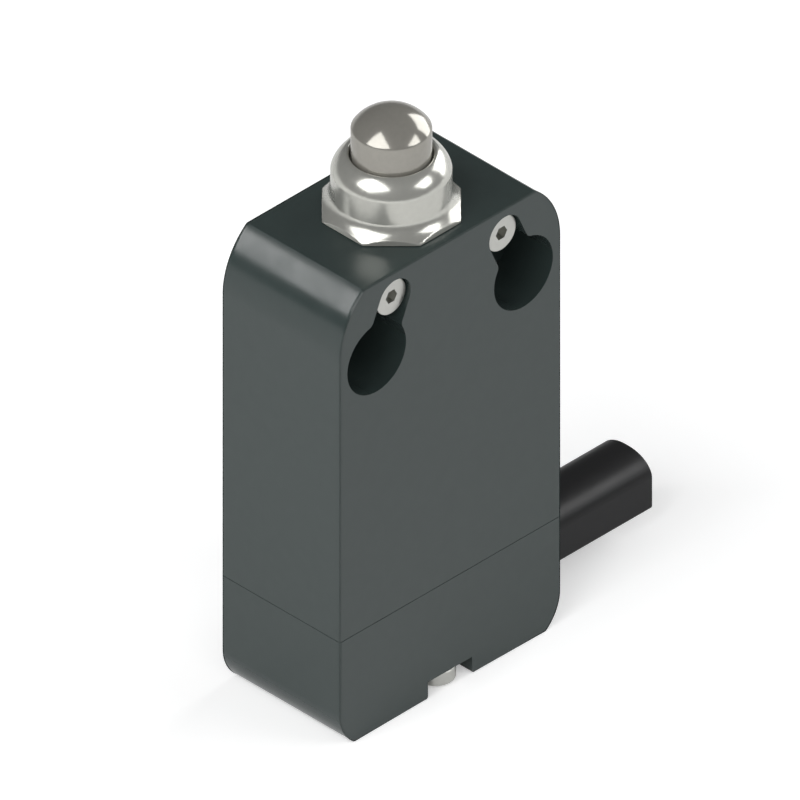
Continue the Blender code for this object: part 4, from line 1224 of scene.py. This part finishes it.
@dataclass
class GuideHead:
    """The octagonal collar and the domed plunger that runs in it, above the housing's top."""

    flat_count: int = 8
    flats: float = 13.4 * MM
    corner_reserve: float = 0.02 * MM
    seat_gap: float = 0.1 * MM
    seat_edge: float = 0.04 * MM
    rim_top: float = 0.25 * MM
    flare_top: float = 2.0 * MM
    flare_bend: tuple[float, float] = (188.0, 227.0)
    radius: float = 5.9 * MM
    shoulder: float = 4.5 * MM
    shoulder_power: float = 1.4
    mouth: float = 6.5 * MM
    mouth_radius: float = 4.08 * MM
    mouth_lip: float = 0.28 * MM
    barrel_radius: float = 6.5 * MM
    barrel_length: float = 5.7 * MM
    barrel_chamfer: float = 0.2 * MM
    groove_radius: float = 6.1 * MM
    groove_top: float = -1.7 * MM
    groove_bottom: float = -4.5 * MM
    chamber_radius: float = 5.1 * MM
    chamber_roof: float = 4.95 * MM
    chamber_chamfer: tuple[float, float] = (0.3 * MM, 0.6 * MM)
    wiper_low: float = 5.3 * MM
    wiper_high: float = 5.85 * MM
    wiper_radius: float = 4.75 * MM
    wiper_play: float = 0.06 * MM
    wiper_chamfer: tuple[float, float] = (0.25 * MM, 0.1 * MM)
    plunger_radius: float = 3.95 * MM
    plunger_shoulder: float = 9.4 * MM
    plunger_edge: float = 0.06 * MM
    plunger_chamfer: float = 0.15 * MM
    dome_radius: float = 4.8 * MM
    dome_margin: float = 0.8
    stop_radius: float = 4.7 * MM
    stop_low: float = 3.9 * MM
    stop_high: float = 4.8 * MM
    stem_radius: float = 2.0 * MM
    neck_radius: float = 1.4 * MM
    neck_top: float = -15.2 * MM
    stem_end: float = -17.4 * MM

    def shoulder_points(self) -> Outline:
        """The collar's lip and its flattened shoulder, from the mouth down to the cylinder.

        Returns:
            The points.
        """
        lip = self.mouth_lip
        width = self.radius - self.mouth_radius - lip
        drop = self.mouth - self.shoulder
        points = arc((self.mouth_radius + lip, self.mouth - lip), lip, 180.0, 90.0, 6)
        for across, up in arc((0.0, 0.0), 1.0, 88.0, 0.0, 32):
            reach = self.radius - width * (1.0 - across**self.shoulder_power)
            points.append((reach, self.shoulder + drop * up**self.shoulder_power))
        return points

    def flare_points(self, corner: float) -> Outline:
        """The hollow flare from the cylinder down to the rim.

        Args:
            corner: The rim's radius before the flats are cut.

        Returns:
            The points, from a piece of arc scaled to the flare's width and height.
        """
        bend = arc((0.0, 0.0), 1.0, *self.flare_bend, 28)
        (start_x, start_y), (end_x, end_y) = bend[0], bend[-1]
        points = []
        for across, up in bend:
            share = ((across - start_x) / (end_x - start_x), (up - start_y) / (end_y - start_y))
            reach = self.radius + (corner - self.radius) * share[0]
            points.append((reach, self.flare_top - (self.flare_top - self.rim_top) * share[1]))
        return points

    def collar_profile(self) -> Outline:
        """Shoulder, cylinder and flare outside, bore and grooves inside.

        Returns:
            The closed profile, from the mouth down the outer side and back up inside.
        """
        corner = self.flats / 2.0 / math.cos(math.pi / self.flat_count) + self.corner_reserve
        shoulder = self.shoulder_points()
        chamfer_in, chamfer_down = self.chamber_chamfer
        return [
            *shoulder,
            *self.flare_points(corner),
            (corner, self.seat_gap + self.seat_edge),
            (corner - self.seat_edge, self.seat_gap),
            (self.barrel_radius, self.seat_gap),
            (self.barrel_radius, self.groove_top),
            (self.groove_radius, self.groove_top),
            (self.groove_radius, self.groove_bottom),
            (self.barrel_radius, self.groove_bottom),
            (self.barrel_radius, self.barrel_chamfer - self.barrel_length),
            (self.barrel_radius - self.barrel_chamfer, -self.barrel_length),
            (self.chamber_radius, -self.barrel_length),
            (self.chamber_radius, self.chamber_roof - chamfer_down),
            (self.chamber_radius - chamfer_in, self.chamber_roof),
            (self.mouth_radius, self.chamber_roof),
            (self.mouth_radius, self.wiper_low),
            (self.wiper_radius, self.wiper_low),
            (self.wiper_radius, self.wiper_high),
            (self.mouth_radius, self.wiper_high),
            shoulder[0],
        ]

    def plunger_profile(self) -> Outline:
        """Dome, cylinder, stop flange, stem and the neck that the carrier clips on.

        Returns:
            The profile, from the dome's top down to the stem's end.
        """
        rise = self.dome_radius - math.sqrt(self.dome_radius**2 - self.plunger_radius**2)
        sweep = math.degrees(math.asin(self.plunger_radius / self.dome_radius))
        centre = (0.0, self.plunger_shoulder + rise - self.dome_radius)
        end = 90.0 - sweep + self.dome_margin
        points = arc(centre, self.dome_radius, 90.0, end, 40)
        points[0] = (0.0, points[0][1])
        chamfer = self.plunger_chamfer
        return points + [
            (self.plunger_radius, self.plunger_shoulder - self.plunger_edge),
            (self.plunger_radius, self.stop_high),
            (self.stop_radius, self.stop_high),
            (self.stop_radius, self.stop_low + chamfer),
            (self.stop_radius - chamfer, self.stop_low),
            (self.stem_radius, self.stop_low),
            (self.stem_radius, self.neck_top),
            (self.neck_radius, self.neck_top),
            (self.neck_radius, self.stem_end + chamfer),
            (self.neck_radius - chamfer, self.stem_end),
            (0.0, self.stem_end),
        ]

    def wiper_profile(self) -> Outline:
        """The scraper ring's section, with its thin lip up against the plunger.

        Returns:
            The closed profile.
        """
        play = self.wiper_play
        lip = self.plunger_radius + play
        back = self.wiper_radius - play
        low = self.wiper_low + play
        high = self.wiper_high - play
        chamfer_in, chamfer_down = self.wiper_chamfer
        section = [(back, high), (back, low), (lip + chamfer_in, low), (lip, high - chamfer_down)]
        return [*section, (lip + play, high), section[0]]

    def build(self) -> None:
        """Turns the three pieces and dresses them."""
        axis = (0.0, AXIS_Y, TOP)
        place = Matrix.Translation(axis)
        flats = {"Steps": 128, "Flats": self.flat_count, "Apothem": self.flats / 2.0}
        collar = grow("collar_turning", TURNED, flats, place, self.collar_profile())
        hand_over(collar, COLLAR_STEEL, "body", "guide_collar", centre=axis)
        plunger = grow("plunger_turning", TURNED, {"Steps": 128}, place, self.plunger_profile())
        hand_over(plunger, PLUNGER_STEEL, "plunger", "plunger", centre=axis)
        wiper = grow("scraper_ring", TURNED, {"Steps": 96}, place, self.wiper_profile())
        hand_over(wiper, RUBBER, "body", "wiper_ring")


# --- screws and springs --------------------------------------------------------------------


@dataclass
class SocketScrew:
    """A socket screw, modelled along +Z with its bearing face at 0."""

    node: str
    seat: Vector
    place: Matrix
    length: float
    shank_radius: float
    head_height: float
    head_radius: float = 2.0 * MM
    head_flat: float = 0.5
    socket_flats: float = 1.35 * MM
    socket_depth: float = 1.1 * MM
    edge: float = 0.1 * MM
    seat_edge: float = 0.06 * MM
    plain_share: float = 0.62
    thread_pitch: float = 0.4 * MM
    thread_depth: float = 0.1 * MM
    tip: float = 0.3 * MM

    def profile(self) -> Outline:
        """Head with a rounded rim over a shank whose lower part has thread-like rings.

        Returns:
            The profile, from the head's middle down to the tip.
        """
        top = self.head_height
        root = self.shank_radius - self.thread_depth
        points = [(0.0, top), (self.head_radius * self.head_flat, top)]
        points += arc((self.head_radius - self.edge, top - self.edge), self.edge, 90.0, 0.0, 8)
        points += [
            (self.head_radius, self.seat_edge),
            (self.head_radius - self.seat_edge, 0.0),
            (self.shank_radius, 0.0),
        ]
        z = -self.length * self.plain_share
        while z - self.thread_pitch > self.tip - self.length:
            points += [(self.shank_radius, z), (root, z - self.thread_pitch / 2.0)]
            z -= self.thread_pitch
        tip_radius = self.shank_radius - self.tip
        return points + [(self.shank_radius, z), (tip_radius, -self.length), (0.0, -self.length)]

    def build(self, axis: Axis) -> None:
        """Turns the screw, sinks its socket and dresses it.

        Args:
            axis: The frame's axis that it lies along.
        """
        values = {
            "Socket Radius": self.socket_flats / 2.0 / math.cos(math.pi / 6.0),
            "Socket Depth": self.socket_depth,
            "Head Top": self.head_height,
        }
        piece = grow(f"{self.node}_turning", SCREWED, values, self.place, self.profile())
        hand_over(piece, SCREW_STEEL, "body", self.node, centre=self.seat, axis=axis)


@dataclass
class Fasteners:
    """The two head screws across the collar and the two foot screws."""

    head_shank: float = 1.25 * MM
    head_height: float = 2.0 * MM
    foot_shank: float = 1.0 * MM
    foot_height: float = 1.5 * MM

    def build(self) -> None:
        """Makes the four screws where the frame has theirs."""
        turn = Matrix.Rotation(math.pi / 2.0, 4, "X")
        for side in ("left", "right"):
            node = f"head_screw_{side}"
            low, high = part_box(node)
            middle = (low + high) / 2.0
            seat = Vector((middle.x, low.y + self.head_height, middle.z))
            place = Matrix.Translation(seat) @ turn
            length = high.y - seat.y
            screw = SocketScrew(node, seat, place, length, self.head_shank, self.head_height)
            screw.build(Axis.Y)
        turn = Matrix.Rotation(math.pi, 4, "X")
        for side in ("front", "back"):
            node = f"cover_screw_{side}"
            low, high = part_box(node)
            seat = Vector((0.0, (low.y + high.y) / 2.0, low.z + self.foot_height))
            place = Matrix.Translation(seat) @ turn
            length = high.z - seat.z
            screw = SocketScrew(node, seat, place, length, self.foot_shank, self.foot_height)
            screw.build(Axis.Z)


@dataclass
class Spring:
    """A compression spring that a joint presses, wound at its rest length.

    Attributes:
        node: The frame's node that it replaces.
        body: The body that its still end stands on.
        joint: The joint that presses it; not used.
        radius: Radius of the wire's middle line.
        wire: The wire's radius.
        turns: Number of turns.
        travel: How much the joint would shorten it; not used.
        hung: True if its upper end is the still one; not used.
    """

    node: str
    body: str
    joint: str
    radius: float
    wire: float
    turns: float
    travel: float
    hung: bool = False

    def build(self) -> None:
        """Winds the spring at rest and puts it on its body."""
        low, high = (corner.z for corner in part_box(self.node))
        height = high - low
        values = {
            "Radius": self.radius,
            "Wire Radius": self.wire,
            "Height": height,
            "Turns": self.turns,
        }
        place = Matrix.Translation((0.0, AXIS_Y, low))
        piece = grow(f"{self.node}_coil", SPRUNG, values, place)
        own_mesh(piece)
        hand_over(piece, SPRING_WIRE, self.body, self.node)


def build_springs() -> None:
    """The return, carrier and contact springs, with the travel of what presses them."""
    reach = {joint["name"]: joint["range_m"][1] for joint in frame["joints"]}
    drive, bridge = "plunger_slide", "nc_bridge_slide"
    stroke = reach[drive]
    closing = reach[bridge] - reach["no_bridge_slide"]
    for spring in (
        Spring(
            "return_spring", "body", drive,
            radius=3.5 * MM, wire=0.25 * MM, turns=6.0, travel=stroke,
        ),
        Spring(
            "carrier_spring", "body", drive,
            radius=1.6 * MM, wire=0.2 * MM, turns=6.5, travel=stroke,
        ),
        Spring(
            "contact_spring", "nc_bridge", bridge,
            radius=1.05 * MM, wire=0.18 * MM, turns=5.0, travel=closing, hung=True,
        ),
    ):
        spring.build()


# --- cable ---------------------------------------------------------------------------------


@dataclass
class CableTail:
    """The flat-bottomed cable that leaves the foot's right side, cut short."""

    half_width: float = 3.4 * MM
    crown: tuple[float, float] = (3.16 * MM, 2.2 * MM)
    foot_radius: float = 0.4 * MM
    end_round: float = 0.06 * MM
    grommet_margin: float = 0.9 * MM
    grommet_play: float = 0.15 * MM
    grommet_round: float = 0.14 * MM
    bore_radius: float = 0.62 * MM
    core_offset: float = 0.95 * MM
    strand_count: int = 19
    strand_radius: float = 0.075 * MM
    strand_length: float = 1.2 * MM
    strand_proud: float = 0.04 * MM
    first_seed: int = 3

    def outline(self, grow_by: float = 0.0) -> Outline:
        """The jacket's section in Y and Z: oval crown, upright sides and flat underside.

        Args:
            grow_by: How far outside the jacket the outline runs.

        Returns:
            The points.
        """
        across, up = self.crown
        bottom = JACKET_LOW.z - grow_by
        crown_z = JACKET_HIGH.z - up
        half = self.half_width + grow_by
        foot = self.foot_radius + grow_by
        radii = (across + grow_by, up + grow_by)
        points = arc((half - radii[0], crown_z), radii, 0.0, 90.0, 24)
        points += arc((radii[0] - half, crown_z), radii, 90.0, 180.0, 24)
        points += arc((foot - half, bottom + foot), foot, 180.0, 270.0, 8)
        points += arc((half - foot, bottom + foot), foot, 270.0, 360.0, 8)
        return [(AXIS_Y + y, z) for y, z in points]

    def core_centres(self) -> dict[str, tuple[float, float]]:
        """Where each core lies in the jacket.

        Returns:
            Y and Z of each core, by its colour.
        """
        middle = (JACKET_LOW.z + JACKET_HIGH.z) / 2.0
        step = self.core_offset
        return {
            "brown": (AXIS_Y - step, middle + step),
            "blue": (AXIS_Y + step, middle + step),
            "black": (AXIS_Y - step, middle - step),
            "grey": (AXIS_Y + step, middle - step),
        }

    def build(self) -> bpy.types.Object:
        """Makes the jacket, the strands at its cut end and the grommet.

        Returns:
            The jacket.
        """
        start, end = JACKET_LOW.x, JACKET_HIGH.x
        centres = self.core_centres()
        bores = [
            prism(circle(y, z, self.bore_radius, sides=32), Axis.X, start - MM, end + MM)
            for y, z in centres.values()
        ]
        jacket = carve("jacket_tail", prism(self.outline(), Axis.X, start, end), bores)
        round_edges(jacket, [(Axis.X, end, self.end_round)], 2)
        hand_over(smooth(jacket, 30.0), JACKET, "body", "cable_jacket", axis=Axis.X)
        low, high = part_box("cable_grommet")
        opening = prism(self.outline(self.grommet_play), Axis.X, low.x - MM, high.x + MM)
        ring = prism(self.outline(self.grommet_margin), Axis.X, low.x, high.x)
        grommet = carve("grommet_ring", ring, [opening])
        round_edges(grommet, [(Axis.X, high.x, self.grommet_round)])
        hand_over(smooth(grommet, 30.0), RUBBER, "body", "cable_grommet")
        for colour, (y, z) in centres.items():
            self.build_strands(colour, y, z)
        return jacket

    def build_strands(self, colour: str, y: float, z: float) -> None:
        """Makes the bright ends of one core's strands, just proud of the cut.

        Args:
            colour: The core's colour.
            y: The core's place across the jacket.
            z: Its height.
        """
        values = {
            "Count": self.strand_count,
            "Strand Radius": self.strand_radius,
            "Length": self.strand_length,
            "Seed": self.first_seed + len(colour),
        }
        middle = JACKET_HIGH.x + self.strand_proud - self.strand_length / 2.0
        place = Matrix.Translation((middle, y, z)) @ Matrix.Rotation(math.pi / 2.0, 4, "Y")
        strands = grow(f"strands_{colour}", STRANDED, values, place)
        hand_over(strands, BRONZE, "body", axis=Axis.X)


# --- carried-over nodes --------------------------------------------------------------------


def dress_nodes() -> None:
    """Gives every node that keeps its own shape its finish."""
    finishes: dict[str, Finish] = {
        "guide_bush": BRASS,
        "stem_o_ring": RUBBER,
        "collar_o_ring": RUBBER,
        "cover_gasket": RUBBER,
        "contact_block": BLOCK,
        "block_cover": BLOCK,
        "cable_clamp": BLOCK,
        "contact_carrier": ACETAL,
    }
    for side in ("left", "right"):
        finishes[f"head_insert_{side}"] = BRASS
        for pair in ("nc", "no"):
            finishes[f"{pair}_terminal_{side}"] = BRONZE
            finishes[f"{pair}_fixed_tip_{side}"] = SILVER
            finishes[f"{pair}_moving_tip_{side}"] = SILVER
    for side in ("front", "back"):
        finishes[f"cover_insert_{side}"] = BRASS
    for pair in ("nc", "no"):
        finishes[f"{pair}_bridge"] = BRONZE
    for colour, finish in CORE_FINISHES.items():
        finishes[f"core_{colour}"] = finish
    axes = {"head": Axis.Y, "core": Axis.X}
    for name, finish in finishes.items():
        node = frame["nodes"][name]
        low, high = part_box(name)
        axis = axes.get(name.partition("_")[0], Axis.Z)
        node.data.materials.clear()
        node.data.materials.append(finish.material((low + high) / 2.0, axis))
        LOG.info("node %s dressed", name)


# --- studio --------------------------------------------------------------------------------


@dataclass(frozen=True)
class Softbox:
    """A rectangular studio light, seen from the switch as a window in a given direction.

    Attributes:
        name: The light's name.
        corner: Where one corner stands, as a direction from the switch.
        across: The side that leaves the corner one way, in the same units.
        along: The side that leaves it the other way, square to the first.
        glow: How bright the light looks, where a white sheet in full light is 1.
        mirrored: False for a soft fill that no shiny surface reflects.
    """

    name: str
    corner: Sequence[float]
    across: Sequence[float]
    along: Sequence[float]
    glow: float
    mirrored: bool = True


def heading(degrees: float) -> Vector:
    """A level direction, counted from +X towards +Y."""
    angle = math.radians(degrees)
    return Vector((math.cos(angle), math.sin(angle), 0.0))


def quarter_left(direction: Vector) -> Vector:
    """The level direction a quarter turn to the left."""
    return Vector((-direction.y, direction.x, 0.0))


@dataclass
class Studio:
    """Pale floor, soft light and the camera at the photograph's angle."""

    azimuth: float = -45.0
    elevation: float = 35.264
    aim: tuple[float, float, float] = (1.175 * MM, -8.0 * MM, -14.59 * MM)
    view_width: float = 77.07 * MM
    camera_distance: float = 0.5
    clip: tuple[float, float] = (0.01, 10.0)
    box_glow: float = 4.2
    left_corner: tuple[float, float, float] = (-0.4, 0.18, 1.0)
    left_heading: float = 151.5
    left_size: tuple[float, float] = (1.7, 1.2)
    strip_shift: tuple[float, float] = (0.71, 0.75)
    strip_size: tuple[float, float] = (2.25, 0.4)
    strip_glow: float = 7.3
    front_corner: tuple[float, float, float] = (0.9, -0.84, 1.0)
    front_heading: float = -54.5
    front_size: tuple[float, float] = (1.62, 0.97)
    fill_glow: float = 1.1
    glint_glow: float = 9.5
    light_reach: float = 1.5
    floor_side: float = 8.0
    floor_shades: tuple[float, float] = (0.87, 0.89)
    floor_cloud: float = 14.0
    floor_glow: float = 0.08
    floor_lift: float = 0.32
    air_colour: tuple[float, float, float, float] = (0.97, 0.985, 1.0, 1.0)
    dim_air: float = 0.12
    horizon: float = 0.02

    def boxes(self) -> list[Softbox]:
        """Three large boxes, a strip for the casing, a soft fill and the cable's own light.

        Each stands where the photograph shows its reflection.

        Returns:
            The lights.
        """
        side = heading(self.left_heading)
        fore = quarter_left(side)
        ceiling = Vector(self.left_corner)
        strip = ceiling + side * self.strip_shift[0] - fore * self.strip_shift[1]
        front_side = heading(self.front_heading)
        front_fore = -quarter_left(front_side)
        glow = self.box_glow
        left_across, left_along = side * self.left_size[0], fore * self.left_size[1]
        strip_across, strip_along = side * self.strip_size[0], fore * self.strip_size[1]
        front_across = front_side * self.front_size[0]
        front_along = front_fore * self.front_size[1]
        return [
            Softbox("left_ceiling", ceiling, left_across, left_along, glow),
            Softbox("left_strip", strip, strip_across, strip_along, self.strip_glow),
            Softbox("front_ceiling", self.front_corner, front_across, front_along, glow),
            Softbox("right_wall", (1.0, -0.45, 0.03), (0.0, 0.72, 0.0), (0.0, 0.0, 0.69), glow),
            Softbox(
                "fill", (-1.09, -0.477, 0.255), (0.75, -0.66, 0.0), (0.33, 0.375, 0.69),
                self.fill_glow, mirrored=False,
            ),
            Softbox(
                "cable_glint", (0.43, -0.6, 0.555), (0.3, 0.0, 0.0), (0.0, 0.38, 0.232),
                self.glint_glow,
            ),
        ]

    def build(self) -> None:
        """Sets the stage."""
        self.build_floor()
        self.build_world()
        for box in self.boxes():
            self.build_box(box)
        self.build_camera()
        bpy.context.scene.view_settings.view_transform = "Standard"

    def build_floor(self) -> None:
        """A large pale light table at the foot's height."""
        half = self.floor_side / 2.0
        corners = [(x, y, FLOOR) for x, y in rectangle((-half, -half), (half, half))]
        mesh = bpy.data.meshes.new("studio_floor")
        mesh.from_pydata(corners, [], [(0, 1, 2, 3)])
        floor = new_object("studio_floor", mesh)
        paint = bpy.data.materials.new("studio_floor")
        paint.use_nodes = True
        kit = NodeKit(paint.node_tree)
        shader = paint.node_tree.nodes["Principled BSDF"]
        place = kit.add("ShaderNodeTexCoord").outputs["Object"]
        dark, light = self.floor_shades
        shades = {
            "Value": kit.noise(place, self.floor_cloud, 3.0),
            "To Min": dark,
            "To Max": light,
        }
        shade = kit.add("ShaderNodeMapRange", shades).outputs[0]
        white = kit.add("ShaderNodeCombineColor", {0: shade, 1: shade, 2: shade}).outputs[0]
        kit.feed(shader.inputs["Base Color"], white)
        kit.feed(shader.inputs["Emission Color"], white)
        seen = kit.add("ShaderNodeLightPath").outputs["Is Camera Ray"]
        glow = kit.math("MULTIPLY_ADD", seen, self.floor_lift, self.floor_glow)
        kit.feed(shader.inputs["Emission Strength"], glow)
        shader.inputs["Roughness"].default_value = 0.9
        shader.inputs["Specular IOR Level"].default_value = 0.2
        mesh.materials.append(paint)

    def build_world(self) -> None:
        """Dim air above the horizon, and a pale one below it and where the camera sees it."""
        world = bpy.data.worlds.new("studio_light")
        world.use_nodes = True
        bpy.context.scene.world = world
        kit = NodeKit(world.node_tree)
        backdrop = world.node_tree.nodes["Background"]
        direction = kit.add("ShaderNodeTexCoord").outputs["Generated"]
        height = kit.add("ShaderNodeSeparateXYZ", {0: direction}).outputs[2]
        limits = {
            "Value": height,
            "From Min": -self.horizon,
            "From Max": self.horizon,
            "To Min": 1.0,
            "To Max": self.dim_air,
        }
        glow = kit.add("ShaderNodeMapRange", limits).outputs[0]
        seen = kit.add("ShaderNodeLightPath").outputs["Is Camera Ray"]
        backdrop.inputs["Color"].default_value = self.air_colour
        kit.feed(backdrop.inputs["Strength"], kit.math("MAXIMUM", seen, glow))

    def build_box(self, box: Softbox) -> None:
        """Makes one area light, placed and turned so that the switch sees it as its window.

        Args:
            box: The light's window.
        """
        across, along = (Vector(side) * self.light_reach for side in (box.across, box.along))
        centre = Vector((0.0, AXIS_Y, TOP))
        away = Vector(box.corner) * self.light_reach + (across + along) / 2.0
        right = across.normalized()
        back = right.cross(along).normalized()
        if back.dot(away) < 0.0:
            back.negate()
        data = bpy.data.lights.new(box.name, "AREA")
        data.shape = "RECTANGLE"
        data.size, data.size_y = across.length, along.length
        data.energy = box.glow * across.length * along.length * math.pi
        lamp = bpy.data.objects.new(box.name, data)
        bpy.context.scene.collection.objects.link(lamp)
        lamp.visible_glossy = box.mirrored
        turn = Matrix((right, back.cross(right), back)).transposed().to_4x4()
        lamp.matrix_world = Matrix.Translation(centre + away) @ turn

    def keep_light_for(self, light: str, pieces: Iterable[bpy.types.Object]) -> None:
        """Lets a light fall on the given pieces alone.

        Args:
            light: The light's name.
            pieces: The pieces that it lights.
        """
        lit = bpy.data.collections.new(f"{light}_lit")
        for piece in pieces:
            lit.objects.link(piece)
        bpy.data.objects[light].light_linking.receiver_collection = lit

    def build_camera(self) -> None:
        """A camera with parallel rays, as the photograph's edges are parallel."""
        data = bpy.data.cameras.new("camera")
        data.type = "ORTHO"
        data.ortho_scale = self.view_width
        data.clip_start, data.clip_end = self.clip
        camera = bpy.data.objects.new("camera", data)
        bpy.context.scene.collection.objects.link(camera)
        turn = math.radians(self.azimuth)
        rise = math.radians(self.elevation)
        level = math.cos(rise)
        back = Vector((math.sin(turn) * level, -math.cos(turn) * level, math.sin(rise)))
        camera.location = Vector(self.aim) + back * self.camera_distance
        camera.rotation_euler = back.to_track_quat("Z", "Y").to_euler()
        bpy.context.scene.camera = camera


def main() -> None:
    """Builds the switch's pieces in order, then the studio."""
    logging.basicConfig(level=logging.INFO, format="%(name)s: %(message)s")
    studio = Studio()
    studio.build()
    studio.keep_light_for("left_strip", Casing().build())
    GuideHead().build()
    Fasteners().build()
    build_springs()
    studio.keep_light_for("cable_glint", [CableTail().build()])
    dress_nodes()


if __name__ == "__main__":
    main()
